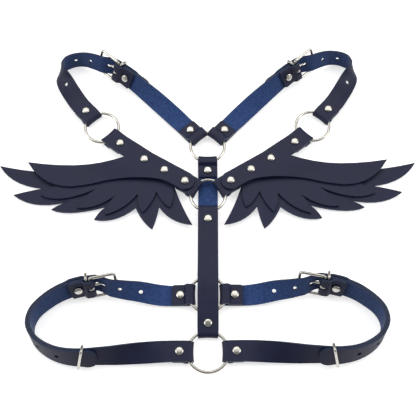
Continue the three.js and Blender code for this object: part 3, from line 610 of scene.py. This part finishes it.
def draw_round_ring(piece, width_at, route, end, spot, inner, slack):
    """Lets a fold follow its ring: each line of points along the strap is drawn towards the wire."""
    towards = 1 if end == 0 else -1
    bend = ring_bend(inner, slack)
    centre = route.matrix(end, 0).inverted() @ (Vector(spot) * MM)
    take(piece)
    bpy.ops.object.mode_set(mode="EDIT")
    for line in range(STRAP_COLUMNS + 1):
        side = 2 * line / STRAP_COLUMNS - 1
        off_centre = side * FOLD_SPAN / 2 - centre.y / MM
        wire_at = math.sqrt(inner ** 2 / 4 - off_centre ** 2) + RING_WIRE / 2
        draw = FOLD_CLOSE * max(0.0, wire_at - bend + towards * centre.x / MM)
        pick(piece, lambda place: towards * (place.x / MM - end) < bend + NEAR
             and abs(place.y / MM - side * width_at(place.x / MM) / 2) < LINE_REACH)
        bpy.ops.transform.translate(value=(towards * draw * MM, 0, 0))
    bpy.ops.object.mode_set(mode="OBJECT")


def buckle_fold():
    """The folded end round a buckle's bar, by distance from the bar, negative along the strap."""
    start = (-BUCKLE_FOLD_END, -LAYER)
    foot = (-BUCKLE_FOLD_STEP - BUCKLE_FOLD_EASE, -LAYER)
    head = (-BUCKLE_FOLD_STEP + BUCKLE_FOLD_RAMP + BUCKLE_FOLD_EASE, -BUCKLE_POCKET)
    flap = [start, *run(start, foot), *ease(foot, head, CLIMB_STEPS)]
    return [*flap, *fold_turn(0.0, 1, BUCKLE_POCKET)]


def tip_width(from_tip):
    """A strap's round tip: each corner is a quarter of an ellipse."""
    part = 1 - min(max(from_tip / TIP_LENGTH, 0.0), 1.0)
    return TIP_FLAT + (STRAP - TIP_FLAT) * math.sqrt(1 - part * part)


def strap_sheet(name, line, width_at, flaps):
    """The middle sheet of a strap: a short strip pushed on from its end along the strap's edge-on line."""
    deselect()
    (first, height), (second, _) = line[:2]
    bpy.ops.mesh.primitive_grid_add(x_subdivisions=1, y_subdivisions=STRAP_COLUMNS, size=1)
    piece = begin(name)
    width = width_at(second)
    bpy.ops.transform.resize(value=(abs(second - first) * MM, width * MM, 1))
    bpy.ops.transform.translate(value=((first + second) / 2 * MM, 0, height * MM))
    middle = (first + second) / 2 * MM
    pick(piece, lambda place: (place.x > middle) == (second > first))
    here = line[1]
    for there in line[2:]:
        push(((there[0] - here[0]) * MM, 0, (there[1] - here[1]) * MM))
        wide = width_at(there[0])
        if abs(wide - width) > SAME:
            bpy.ops.transform.resize(value=(1, wide / width, 1), center_override=(0, 0, 0))
        here, width = there, wide
    ends = [line[0]] + ([line[-1]] if flaps == 2 else [])
    pick(piece, lambda place: abs(place.y) > (STRAP / 2 - NEAR) * MM and any(
        abs(place.x - end[0] * MM) < SAME and abs(place.z - end[1] * MM) < SAME for end in ends))
    bpy.ops.mesh.bevel(offset=FLAP_CORNER * MM, segments=FLAP_STEPS, affect="VERTICES")
    bpy.ops.mesh.select_all(action="SELECT")
    faces = bmesh.from_edit_mesh(piece.data).faces
    faces.ensure_lookup_table()
    main_run = [face for face in faces if abs(face.calc_center_median().z) < NEAR * MM]
    if main_run[0].normal.z < 0:
        bpy.ops.mesh.flip_normals()
    bpy.ops.object.mode_set(mode="OBJECT")
    return piece


def punch(places):
    """One cutter from punches, each with its distance, lowest and highest point, length and width."""
    punches = []
    for distance, low, high, length, diameter in places:
        deselect()
        bpy.ops.mesh.primitive_cylinder_add(
            vertices=HOLE_SIDES, radius=diameter / 2 * MM, depth=(high - low) * MM,
            location=(distance * MM, 0, (low + high) / 2 * MM))
        tool = begin("punch")
        for side in (-1, 1):
            pick(tool, lambda place: side * (place.x - distance * MM) > SAME)
            bpy.ops.transform.translate(value=(side * (length - diameter) / 2 * MM, 0, 0))
        bpy.ops.object.mode_set(mode="OBJECT")
        punches.append(tool)
    cutter = join(punches[0], punches[1:])
    for finish in (grain, suede, edge):
        cutter.data.materials.append(finish)
    for face in cutter.data.polygons:
        face.material_index = CUT_EDGE
    return cutter


def make_leather(piece, cutter, route):
    """Gives a sheet its thickness, holes and rubbed edges, and lays it along its route."""
    for finish in (grain, suede, edge):
        piece.data.materials.append(finish)
    wall = piece.modifiers.new("wall", "SOLIDIFY")
    wall.thickness = LEATHER * MM
    wall.offset = 0
    wall.use_even_offset = True
    wall.material_offset = FLESH_SIDE
    wall.material_offset_rim = CUT_EDGE
    holes = piece.modifiers.new("holes", "BOOLEAN")
    holes.operation = "DIFFERENCE"
    holes.solver = "EXACT"
    holes.object = cutter
    rubbed = piece.modifiers.new("rubbed", "BEVEL")
    rubbed.width = EDGE_ROUND * MM
    rubbed.segments = EDGE_STEPS
    rubbed.limit_method = "ANGLE"
    rubbed.angle_limit = RUBBED_ABOVE
    guide = route.guide()
    laid = piece.modifiers.new("laid", "CURVE")
    laid.object = guide
    laid.deform_axis = "POS_X"
    apply_modifiers(piece)
    bpy.data.objects.remove(guide)
    bpy.data.objects.remove(cutter)
    bpy.ops.object.shade_smooth_by_angle(angle=LEATHER_SMOOTH)


def post_hole(distance):
    return (distance, -POST_HOLE_REACH, POST_HOLE_REACH, POST_HOLE, POST_HOLE)


def outline_points(rows):
    """Points of a wing's outline, with each bent edge as a quadratic curve."""
    points = [Vector(rows[0][0])]
    for end, past in rows[1:]:
        start = points[-1]
        end = Vector(end)
        if past is None:
            points.append(end)
            continue
        past = Vector(past)
        for step in range(1, OUTLINE_STEPS + 1):
            part = step / OUTLINE_STEPS
            points.append((1 - part) ** 2 * start + 2 * part * (1 - part) * past + part ** 2 * end)
    return points


def arm_end_points():
    """The half circle round the rivet beside the back ring, where the top layer's arm ends."""
    middle = Vector((math.cos(ARM_ANGLE), math.sin(ARM_ANGLE))) * FOLD_RIVET
    points = []
    for step in range(ARM_END_STEPS + 1):
        angle = ARM_ANGLE + math.pi * (0.5 + step / ARM_END_STEPS)
        points.append(middle + Vector((math.cos(angle), math.sin(angle))) * STRAP / 2)
    return points


def wing_layer(name, points, heights, rivets):
    """A cut layer of a wing: its outline pushed from point to point, filled, and laid on what is below."""
    along = Vector((math.cos(ARM_ANGLE), math.sin(ARM_ANGLE)))
    below = Vector((math.sin(ARM_ANGLE), -math.cos(ARM_ANGLE)))
    flat = [Vector((point.dot(below) - SHEET_FROM, point.dot(along), 0)) * MM for point in points]
    deselect()
    bpy.ops.mesh.primitive_plane_add(size=MM, location=flat[0])
    piece = begin(name)
    bpy.ops.mesh.merge(type="CENTER")
    for before, after in zip(flat, flat[1:]):
        bpy.ops.mesh.extrude_vertices_move(TRANSFORM_OT_translate={"value": after - before})
    bpy.ops.mesh.select_all(action="SELECT")
    bpy.ops.mesh.edge_face_add()
    for distance, _ in heights[1:-1]:
        bpy.ops.mesh.select_all(action="SELECT")
        bpy.ops.mesh.bisect(plane_co=((distance - SHEET_FROM) * MM, 0, 0), plane_no=(1, 0, 0))
    bpy.ops.mesh.select_all(action="SELECT")
    faces = bmesh.from_edit_mesh(piece.data).faces
    faces.ensure_lookup_table()
    if faces[0].normal.z < 0:
        bpy.ops.mesh.flip_normals()
    bpy.ops.object.mode_set(mode="OBJECT")
    cutter = punch([post_hole(-SHEET_FROM)])
    tools = [copy_of(cutter, "punch") for _ in rivets]
    for tool, distance in zip(tools, rivets):
        set_down(tool, Matrix.Translation((0, distance * MM, 0)))
    bpy.data.objects.remove(cutter)
    profile = Route([(distance, 0, height, 0) for distance, height in heights])
    make_leather(piece, join(tools[0], tools[1:]), profile)
    slope = Vector((along.x, along.y, -WING_FALL)).normalized()
    down = Vector((below.x, below.y, 0))
    placed = Matrix((down, slope, down.cross(slope))).transposed().to_4x4()
    set_down(piece, Matrix.Translation((0, 0, BACK_HEIGHT * MM)) @ placed)
    return piece


# Metal


def revolve(name, rows):
    """A turned piece: its half outline, radius and height, spun round the upright axis."""
    deselect()
    bpy.ops.mesh.primitive_plane_add(size=MM)
    piece = begin(name)
    bpy.ops.mesh.merge(type="CENTER")
    bpy.ops.transform.translate(value=(rows[0][0] * MM, 0, rows[0][1] * MM))
    for before, after in zip(rows, rows[1:]):
        step = ((after[0] - before[0]) * MM, 0, (after[1] - before[1]) * MM)
        bpy.ops.mesh.extrude_vertices_move(TRANSFORM_OT_translate={"value": step})
    bpy.ops.mesh.select_all(action="SELECT")
    bpy.ops.mesh.spin(steps=RIVET_STEPS, angle=2 * math.pi, center=(0, 0, 0), axis=(0, 0, 1))
    close()
    return finish_metal(piece)


def finish_metal(piece):
    piece.data.materials.append(nickel)
    take(piece)
    bpy.ops.object.shade_smooth_by_angle(angle=METAL_SMOOTH)
    return piece


def cap_rows(cap, rise):
    """Half of a rivet's cap from its middle: a flat crown, a round shoulder and a tucked rim."""
    crown, crown_rise = CAP_CROWN
    shoulder, fall = CAP_SHOULDER
    rows = [(0.0, rise), (cap * crown, rise * crown_rise)]
    for step in range(1, CAP_STEPS + 1):
        angle = math.pi / 2 * step / CAP_STEPS
        height = crown_rise - fall * (1 - math.cos(angle))
        rows.append((cap * (crown + shoulder * math.sin(angle)), rise * height))
    rows += [(cap * out, rise * up) for out, up in CAP_RIM]
    return rows


def rivet(name, low, high, high_rise=RIVET_DOME, low_cap=RIVET_CAP):
    """A double-capped rivet that clamps what lies between two heights."""
    over = [(radius, high + GAP + rise) for radius, rise in cap_rows(RIVET_CAP, high_rise)]
    under = [(radius, low - GAP - rise) for radius, rise in cap_rows(low_cap, RIVET_DOME)]
    post = [(RIVET_POST / 2, high + GAP), (RIVET_POST / 2, low - GAP)]
    return revolve(name, [*over, *post, *reversed(under)])


def ring(name, inner):
    """A welded ring: a round section spun once round."""
    deselect()
    middle = (inner + RING_WIRE) / 2
    bpy.ops.mesh.primitive_circle_add(
        vertices=RING_SIDES, radius=RING_WIRE / 2 * MM,
        location=(middle * MM, 0, 0), rotation=(math.pi / 2, 0, 0))
    piece = begin(name)
    bpy.ops.mesh.spin(steps=RING_STEPS, angle=2 * math.pi, center=(0, 0, 0), axis=(0, 0, 1))
    close()
    return finish_metal(piece)


def wire_loop(name, length, width, corner, wire):
    """A rounded rectangle of wire: a round section pushed along each side and spun round each corner."""
    deselect()
    sides = (length - 2 * corner, width - 2 * corner) * 2
    here = Vector((-sides[0] / 2, -width / 2, 0)) * MM
    bpy.ops.mesh.primitive_circle_add(
        vertices=WIRE_SIDES, radius=wire / 2 * MM, location=here, rotation=(0, math.pi / 2, 0))
    piece = begin(name)
    for side, straight in enumerate(sides):
        turn = Matrix.Rotation(side * math.pi / 2, 3, "Z")
        ahead = turn @ Vector((1, 0, 0))
        inwards = turn @ Vector((0, 1, 0))
        push(ahead * straight * MM)
        here = here + ahead * straight * MM
        centre = here + inwards * corner * MM
        bpy.ops.mesh.spin(steps=CORNER_STEPS, angle=math.pi / 2, center=centre, axis=(0, 0, -1))
        here = centre + ahead * corner * MM
    close()
    return piece


def prong(name):
    """A buckle's prong: a rod bent round the bar, running out over the end bar to a rounded point."""
    eye = BUCKLE_WIRE / 2 + PRONG_EASE + PRONG / 2
    start = Vector((math.sin(PRONG_OPENS), 0, math.cos(PRONG_OPENS))) * eye * MM
    facing = math.atan2(math.cos(PRONG_OPENS), -math.sin(PRONG_OPENS))
    deselect()
    bpy.ops.mesh.primitive_circle_add(
        vertices=WIRE_SIDES, radius=PRONG / 2 * MM, location=start, rotation=(0, facing, 0))
    piece = begin(name)
    bpy.ops.mesh.spin(steps=EYE_STEPS, angle=2 * math.pi - PRONG_OPENS, center=(0, 0, 0), axis=(0, -1, 0))
    length = BUCKLE_LENGTH + PRONG_PAST_BAR - PRONG / 2
    push((length * MM, 0, 2 * PRONG_EASE * MM))
    tip = Vector((length, 0, eye + 2 * PRONG_EASE)) * MM
    for step, narrower in PRONG_POINT:
        ahead = Vector((step * PRONG / 2 * MM, 0, 0))
        push(ahead)
        tip = tip + ahead
        bpy.ops.transform.resize(value=(1, narrower, narrower), center_override=tip)
    bpy.ops.mesh.select_all(action="SELECT")
    bpy.ops.mesh.fill_holes(sides=0)
    close()
    return piece


def keeper(name):
    """A wire keeper standing round two layers, with x along the strap and z out of its grain side."""
    piece = wire_loop(name, KEEPER_HEIGHT, KEEPER_WIDTH, KEEPER_CORNER, KEEPER_WIRE)
    set_down(piece, Matrix.Translation((0, 0, LAYER / 2 * MM)) @ Matrix.Rotation(-math.pi / 2, 4, "Y"))
    return finish_metal(piece)


def buckle(name):
    """A buckle from the bar that the strap folds round: x to the end bar, z out of the grain side."""
    piece = wire_loop(name, BUCKLE_LENGTH, BUCKLE_WIDTH, BUCKLE_CORNER, BUCKLE_WIRE)
    set_down(piece, Matrix.Translation((BUCKLE_LENGTH / 2 * MM, 0, 0)))
    return finish_metal(join(piece, [prong("prong")]))


# Putting the harness together

to_back_ring = Matrix.Translation(BACK_RING_AT * MM)
to_upper = to_back_ring @ Matrix.Rotation(UPPER_TURN, 4, "Z")
belt_pivot = Matrix.Translation(Vector((*BACK_BELT_RING, 0)) * MM)
belt_turn = belt_pivot @ Matrix.Rotation(BELT_TURN, 4, "Z") @ belt_pivot.inverted()
to_belt = to_back_ring @ belt_turn
other_side = Matrix.Scale(-1, 4, (1, 0, 0))


def add_piece(piece, node, slot, place):
    """Puts a finished piece in its place. On leather, flat faces stay evenly lit beside the rubbed edges."""
    piece.name = node + "_made"
    piece.data.name = piece.name
    set_down(piece, place)
    if slot == "leather":
        level = piece.modifiers.new("level", "WEIGHTED_NORMAL")
        level.keep_sharp = True
        apply_modifiers(piece)
    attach(piece, "root")
    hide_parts(node)


def add_pair(piece, node, slot, place):
    other = copy_of(piece, node)
    add_piece(piece, node + "_right", slot, place)
    add_piece(other, node + "_left", slot, place @ other_side)


def add_rivet(model, node, place, upright, paired):
    piece = copy_of(model, node)
    set_down(piece, upright)
    if paired:
        add_pair(piece, node, "nickel", place)
    else:
        add_piece(piece, node, "nickel", place)


grain = grain_leather()
suede = flesh_leather()
edge = edge_leather()
nickel = nickel_plate()

half = LEATHER / 2
folded_rivet = rivet("folded_rivet", -LAYER - half, half)
belt_ring_rivet = rivet("belt_ring_rivet", -LAYER - half, half, low_cap=RIVET_SMALL_CAP)
hidden_rivet = rivet("hidden_rivet", -LAYER - half - GAP, half + GAP / 2, high_rise=RIVET_FLAT)
arm_end_rivet = rivet("arm_end_rivet", -LAYER - half, LAYER + half)
arm_rivet = rivet("arm_rivet", -2 * LAYER - half, LAYER + half)
strap_ring = ring("strap_ring", RING_INNER)
belt_ring = ring("belt_ring", BELT_RING_INNER)
strap_buckle = buckle("strap_buckle")
strap_keeper = keeper("strap_keeper")


def mirrored_line(line, length):
    return [(length - distance, height) for distance, height in reversed(line)]


def plain_strap(node, rows, rings, rivets):
    """A strap folded round a ring at both ends. A ring is its centre, inner diameter and the fold's slack."""
    route = Route(rows)
    (near_spot, near_inner, near_slack), (far_spot, far_inner, far_slack) = rings
    near = ring_fold(near_inner, near_slack)
    far = mirrored_line(ring_fold(far_inner, far_slack), route.length)
    line = [*near, *run(near[-1], far[0]), *far[1:]]

    def width_at(distance):
        near_width = fold_width(distance, near_inner, near_slack)
        return min(near_width, fold_width(route.length - distance, far_inner, far_slack))

    piece = strap_sheet(node, line, width_at, 2)
    draw_round_ring(piece, width_at, route, 0, near_spot, near_inner, near_slack)
    draw_round_ring(piece, width_at, route, route.length, far_spot, far_inner, far_slack)
    make_leather(piece, punch([post_hole(distance) for distance in rivets(route)]), route)
    return piece, route


def buckled_run(name, rows, spec):
    """One buckled run, as its tongue strap, buckle strap and metal, with the route."""
    route = Route(rows)
    towards = spec["towards"]
    bar = route.length - spec["buckle_from_end"]
    tongue_spot, tongue_inner, tongue_slack = spec["tongue_ring"]
    strap_spot, strap_inner, strap_slack = spec["strap_ring"]
    tongue_end, strap_end = (route.length, 0) if towards > 0 else (0, route.length)

    def at(distance):
        return bar + towards * distance

    def from_tongue_ring(distance):
        return tongue_end - towards * distance

    def from_strap_ring(distance):
        return strap_end + towards * distance

    def moved(points, move):
        return [(move(distance), height) for distance, height in points]

    under = BUCKLE_LENGTH * math.sin(spec["tilt"]) - BUCKLE_POCKET - END_BAR_ROOM
    over_rivet = -BUCKLE_FOLD_RIVET
    lies_from = over_rivet - OVER_REACH - OVER_RAMP
    tip_from = -spec["tail"] + TIP_LENGTH
    tip_height = LAYER + 2 * GAP
    tongue_line = moved(ring_fold(tongue_inner, tongue_slack), from_tongue_ring)
    for soft, distance, height in (
        (False, BUCKLE_LENGTH + DIP_FROM, 0.0), (True, BUCKLE_LENGTH + DIP_TO, under),
        (False, BUCKLE_LENGTH - UNDER_BAR, under), (True, UNDER_BAR, LAYER + GAP),
        (False, -OVER_BAR, LAYER + GAP), (True, over_rivet + OVER_REACH, OVER_RIVET),
        (False, over_rivet - OVER_REACH, OVER_RIVET), (True, lies_from, LAYER),
        (False, tip_from + OVER_RAMP, LAYER), (True, tip_from, tip_height),
    ):
        start = tongue_line[-1]
        end = (at(distance), height)
        if soft:
            tongue_line += ease(start, end, math.ceil(abs(end[0] - start[0]) / SOFT_STATION))
        else:
            tongue_line += run(start, end)
    for step in range(1, TIP_STEPS + 1):
        angle = math.pi / 2 * step / TIP_STEPS
        tongue_line.append((at(tip_from - TIP_LENGTH * math.sin(angle)), tip_height))

    def tongue_width(distance):
        from_tip = towards * (distance - at(-spec["tail"]))
        from_ring = towards * (tongue_end - distance)
        return min(tip_width(from_tip), fold_width(from_ring, tongue_inner, tongue_slack))

    tongue = strap_sheet(name + "_tongue", tongue_line, tongue_width, 1)
    draw_round_ring(tongue, tongue_width, route, tongue_end, tongue_spot, tongue_inner, tongue_slack)
    tongue_rivet = from_tongue_ring(TONGUE_RIVET)
    punches = [post_hole(tongue_rivet)]
    punches += [(at(place), HOLE_FROM, HOLE_TO, HOLE, HOLE) for place in spec["holes"]]
    punches.append((at(PRONG_HOLE_AT), PRONG_HOLE_FROM, HOLE_TO, PRONG_HOLE_LENGTH, HOLE))
    make_leather(tongue, punch(punches), route)

    bar_fold = moved(buckle_fold(), at)
    ring_end = moved(ring_fold(strap_inner, strap_slack), from_strap_ring)[::-1]
    strap_line = [*bar_fold, *run(bar_fold[-1], ring_end[0]), *ring_end[1:]]

    def strap_width(distance):
        return fold_width(towards * (distance - strap_end), strap_inner, strap_slack)

    strap = strap_sheet(name + "_strap", strap_line, strap_width, 2)
    draw_round_ring(strap, strap_width, route, strap_end, strap_spot, strap_inner, strap_slack)
    bar_rivet = at(-BUCKLE_FOLD_RIVET)
    ring_rivet = from_strap_ring(spec["ring_rivet"])
    slot = (at(SLOT_FORWARD), SLOT_FROM, SLOT_TO, SLOT_LENGTH, SLOT_WIDTH)
    make_leather(strap, punch([post_hole(bar_rivet), post_hole(ring_rivet), slot]), route)

    bar_place = route.matrix(bar, -BUCKLE_POCKET / 2)
    if towards < 0:
        bar_place = bar_place @ Matrix.Rotation(math.pi, 4, "Z")
    bar_place = bar_place @ Matrix.Rotation(-spec["tilt"], 4, "Y")
    metal = {
        "buckle": (copy_of(strap_buckle, name + "_buckle"), bar_place),
        "keeper": (copy_of(strap_keeper, name + "_keeper"), route.matrix(at(-KEEPER_BEHIND), 0)),
    }
    rivets = {
        "tongue": route.matrix(tongue_rivet, 0),
        "ring": route.matrix(ring_rivet, 0),
        "buckle": route.matrix(bar_rivet, 0),
    }
    return tongue, strap, metal, rivets, route, bar


# Rings
front_wire = FRONT_HEIGHT + RING_POCKET / 2
back_wire = BACK_HEIGHT - RING_POCKET / 2
shoulder_wire = SHOULDER_HEIGHT - RING_POCKET / 2
belt_wire = BELT_HEIGHT - RING_POCKET / 2
top_spot = (*TOP_RING, front_wire)
back_spot = (*BACK_RING, back_wire)
shoulder_spot = (*SHOULDER_RING, shoulder_wire)
front_belt_spot = (*FRONT_BELT_RING, front_wire)
back_belt_spot = (*BACK_BELT_RING, belt_wire)
for node, model, place, spot in (
    ("top_ring", strap_ring, to_upper, top_spot),
    ("back_ring", strap_ring, to_back_ring, back_spot),
    ("belt_ring_back", belt_ring, to_belt, back_belt_spot),
    ("belt_ring_front", strap_ring, to_belt, front_belt_spot),
):
    piece = copy_of(model, node)
    set_down(piece, Matrix.Translation(Vector(spot) * MM))
    add_piece(piece, node, "nickel", place)
piece = copy_of(strap_ring, "shoulder_ring")
set_down(piece, Matrix.Translation(Vector(shoulder_spot) * MM))
add_pair(piece, "shoulder_ring", "nickel", to_upper)

# Shoulders
tongue, strap, metal, rivets, _, _ = buckled_run("shoulder", SHOULDER_ROUTE, {
    "towards": -1, "buckle_from_end": SHOULDER_BUCKLE_FROM_END, "tilt": 0.0,
    "tail": SHOULDER_TAIL, "holes": SHOULDER_HOLES,
    "tongue_ring": (shoulder_spot, RING_INNER, 0.0), "strap_ring": (top_spot, RING_INNER, TOP_SLACK),
    "ring_rivet": FOLD_RIVET,
})
add_pair(tongue, "shoulder_tongue", "leather", to_upper)
add_pair(strap, "shoulder_strap", "leather", to_upper)
for part, (piece, place) in metal.items():
    set_down(piece, place)
    add_pair(piece, "shoulder_" + part, "nickel", to_upper)
add_rivet(folded_rivet, "rivet_shoulder_tongue", to_upper, rivets["tongue"], True)
add_rivet(folded_rivet, "rivet_shoulder_top", to_upper, rivets["ring"], True)
add_rivet(hidden_rivet, "rivet_shoulder_buckle", to_upper, rivets["buckle"], True)

# Belt
tongue, strap, metal, rivets, route, bar = buckled_run("belt", BELT_ROUTE, {
    "towards": 1, "buckle_from_end": BELT_BUCKLE_FROM_END, "tilt": BELT_BUCKLE_TILT,
    "tail": BELT_TAIL, "holes": BELT_HOLES,
    "tongue_ring": (front_belt_spot, RING_INNER, 0.0), "strap_ring": (back_belt_spot, BELT_RING_INNER, 0.0),
    "ring_rivet": BACK_BELT_RIVET,
})
add_pair(tongue, "belt_tongue", "leather", to_belt)
add_pair(strap, "belt_strap", "leather", to_belt)
slide_place = route.matrix(bar - BELT_TAIL + SLIDE_FROM_TIP, 0) @ Matrix.Rotation(SLIDE_TILT, 4, "Z")
metal["slide"] = (copy_of(strap_keeper, "belt_slide"), slide_place)
for part, (piece, place) in metal.items():
    set_down(piece, place)
    add_pair(piece, "belt_" + part, "nickel", to_belt)
add_rivet(folded_rivet, "rivet_belt_front", to_belt, rivets["tongue"], True)
add_rivet(belt_ring_rivet, "rivet_belt_back", to_belt, rivets["ring"], True)
add_rivet(hidden_rivet, "rivet_belt_buckle", to_belt, rivets["buckle"], True)

# Straps down the middle
spine, route = plain_strap(
    "spine", SPINE_ROUTE, ((back_spot, RING_INNER, 0.0), (back_belt_spot, BELT_RING_INNER, 0.0)),
    lambda route: (FOLD_RIVET, route.length - BACK_BELT_RIVET))
add_piece(spine, "spine_strap", "leather", to_back_ring)
add_rivet(folded_rivet, "rivet_spine_upper", to_back_ring, route.matrix(FOLD_RIVET, 0), False)
lower = route.matrix(route.length - BACK_BELT_RIVET, 0)
add_rivet(belt_ring_rivet, "rivet_spine_lower", to_back_ring, lower, False)
chest, route = plain_strap(
    "chest", CHEST_ROUTE, ((top_spot, RING_INNER, 0.0), (front_belt_spot, RING_INNER, 0.0)),
    lambda route: (FOLD_RIVET, route.length - FOLD_RIVET))
add_piece(chest, "chest_strap", "leather", to_back_ring)
add_rivet(folded_rivet, "rivet_chest_upper", to_back_ring, route.matrix(FOLD_RIVET, 0), False)
lower = route.matrix(route.length - FOLD_RIVET, 0)
add_rivet(folded_rivet, "rivet_chest_lower", to_back_ring, lower, False)

# Wings
wing_strap, route = plain_strap(
    "wing_strap", WING_STRAP_ROUTE, ((back_spot, RING_INNER, 0.0), (shoulder_spot, RING_INNER, WING_SLACK)),
    lambda route: (*ARM_RIVETS, route.length - WING_FOLD_RIVET))
add_pair(wing_strap, "wing_strap", "leather", to_upper)
shoulder_end = route.matrix(route.length - WING_FOLD_RIVET, 0)
add_rivet(folded_rivet, "rivet_wing_shoulder", to_upper, shoulder_end, True)
arm = Vector((math.cos(ARM_ANGLE), math.sin(ARM_ANGLE), -WING_FALL))
arm_models = {"inner": arm_end_rivet, "mid": arm_rivet, "outer": arm_rivet}
for distance, (spot, model) in zip(ARM_RIVETS, arm_models.items()):
    foot = arm * distance + Vector((0, 0, BACK_HEIGHT))
    add_rivet(model, "rivet_wing_" + spot, to_upper, Matrix.Translation(foot * MM), True)
base_heights = ((SHEET_FROM, -2 * LAYER), (SHEET_TO, -2 * LAYER))
middle_heights = ((SHEET_FROM, -LAYER), (SHEET_TO, -LAYER))
flat_to = (TOP_FLAT_TO, LAYER)
top_fall = (flat_to, *ease(flat_to, (TOP_SUNK_FROM, TOP_SUNK), TOP_FALL_STEPS))
top_heights = ((SHEET_FROM, LAYER), (0.0, LAYER), *top_fall, (SHEET_TO, TOP_SUNK))
base = wing_layer("wing_base", outline_points(WING_BASE), base_heights, ARM_RIVETS[1:])
add_pair(base, "wing_base", "leather", to_upper)
middle = wing_layer("wing_middle", outline_points(WING_MIDDLE), middle_heights, ARM_RIVETS[1:])
add_pair(middle, "wing_middle", "leather", to_upper)
top = wing_layer("wing_top", [*arm_end_points(), *outline_points(WING_TOP)], top_heights, ARM_RIVETS)
add_pair(top, "wing_top", "leather", to_upper)

for model in (folded_rivet, belt_ring_rivet, hidden_rivet, arm_end_rivet, arm_rivet,
              strap_ring, belt_ring, strap_buckle, strap_keeper):
    bpy.data.objects.remove(model)

# Table, light and camera
deselect()
bpy.ops.mesh.primitive_plane_add(size=TABLE_SIZE)
table = bpy.context.object
table.name = "table"
finish = bpy.data.materials.new("pale_table")
finish.use_nodes = True
wire_up(finish.node_tree.nodes["Principled BSDF"], {
    "Base Color": (0.9, 0.9, 0.9, 1),
    "Roughness": 0.6,
    "Emission Color": (1, 1, 1, 1),
    "Emission Strength": TABLE_GLOW,
})
table.data.materials.append(finish)
table.visible_diffuse = False

look_at = Vector((BACK_RING_AT.x, BACK_RING_AT.y - LOOK_BELOW_RING, 0)) * MM
lens = bpy.data.cameras.new("camera")
lens.lens = CAMERA_LENS
lens.sensor_width = CAMERA_SENSOR
camera = bpy.data.objects.new("camera", lens)
bpy.context.collection.objects.link(camera)
camera.location = look_at + Vector((0, -math.cos(CAMERA_RISE), math.sin(CAMERA_RISE))) * CAMERA_AWAY
camera.rotation_euler = (math.radians(90) - CAMERA_RISE, 0, 0)
bpy.context.scene.camera = camera


def soft_light(name, place, size, power, colour):
    """A soft box that faces the middle of the table."""
    lamp = bpy.data.lights.new(name, "AREA")
    lamp.shape = "RECTANGLE"
    lamp.size, lamp.size_y = size
    lamp.energy = power
    lamp.color = colour
    light = bpy.data.objects.new(name, lamp)
    bpy.context.collection.objects.link(light)
    light.location = place
    light.rotation_euler = (Vector((0, 0, 0)) - Vector(place)).to_track_quat("-Z", "Y").to_euler()


soft_light("key", place=(0.0, 1.05, 1.7), size=(2.2, 1.5), power=19, colour=(1.0, 0.99, 0.97))
soft_light("left", place=(-1.3, 0.0, 0.9), size=(0.8, 1.2), power=9, colour=(1.0, 1.0, 1.0))
soft_light("right", place=(1.3, 0.0, 0.9), size=(0.8, 1.2), power=9, colour=(1.0, 1.0, 1.0))
world = bpy.data.worlds.new("studio")
bpy.context.scene.world = world
world.use_nodes = True
world.node_tree.nodes["Background"].inputs["Color"].default_value = (1, 1, 1, 1)
world.node_tree.nodes["Background"].inputs["Strength"].default_value = ROOM_LIGHT
bpy.context.scene.view_settings.view_transform = "Standard"
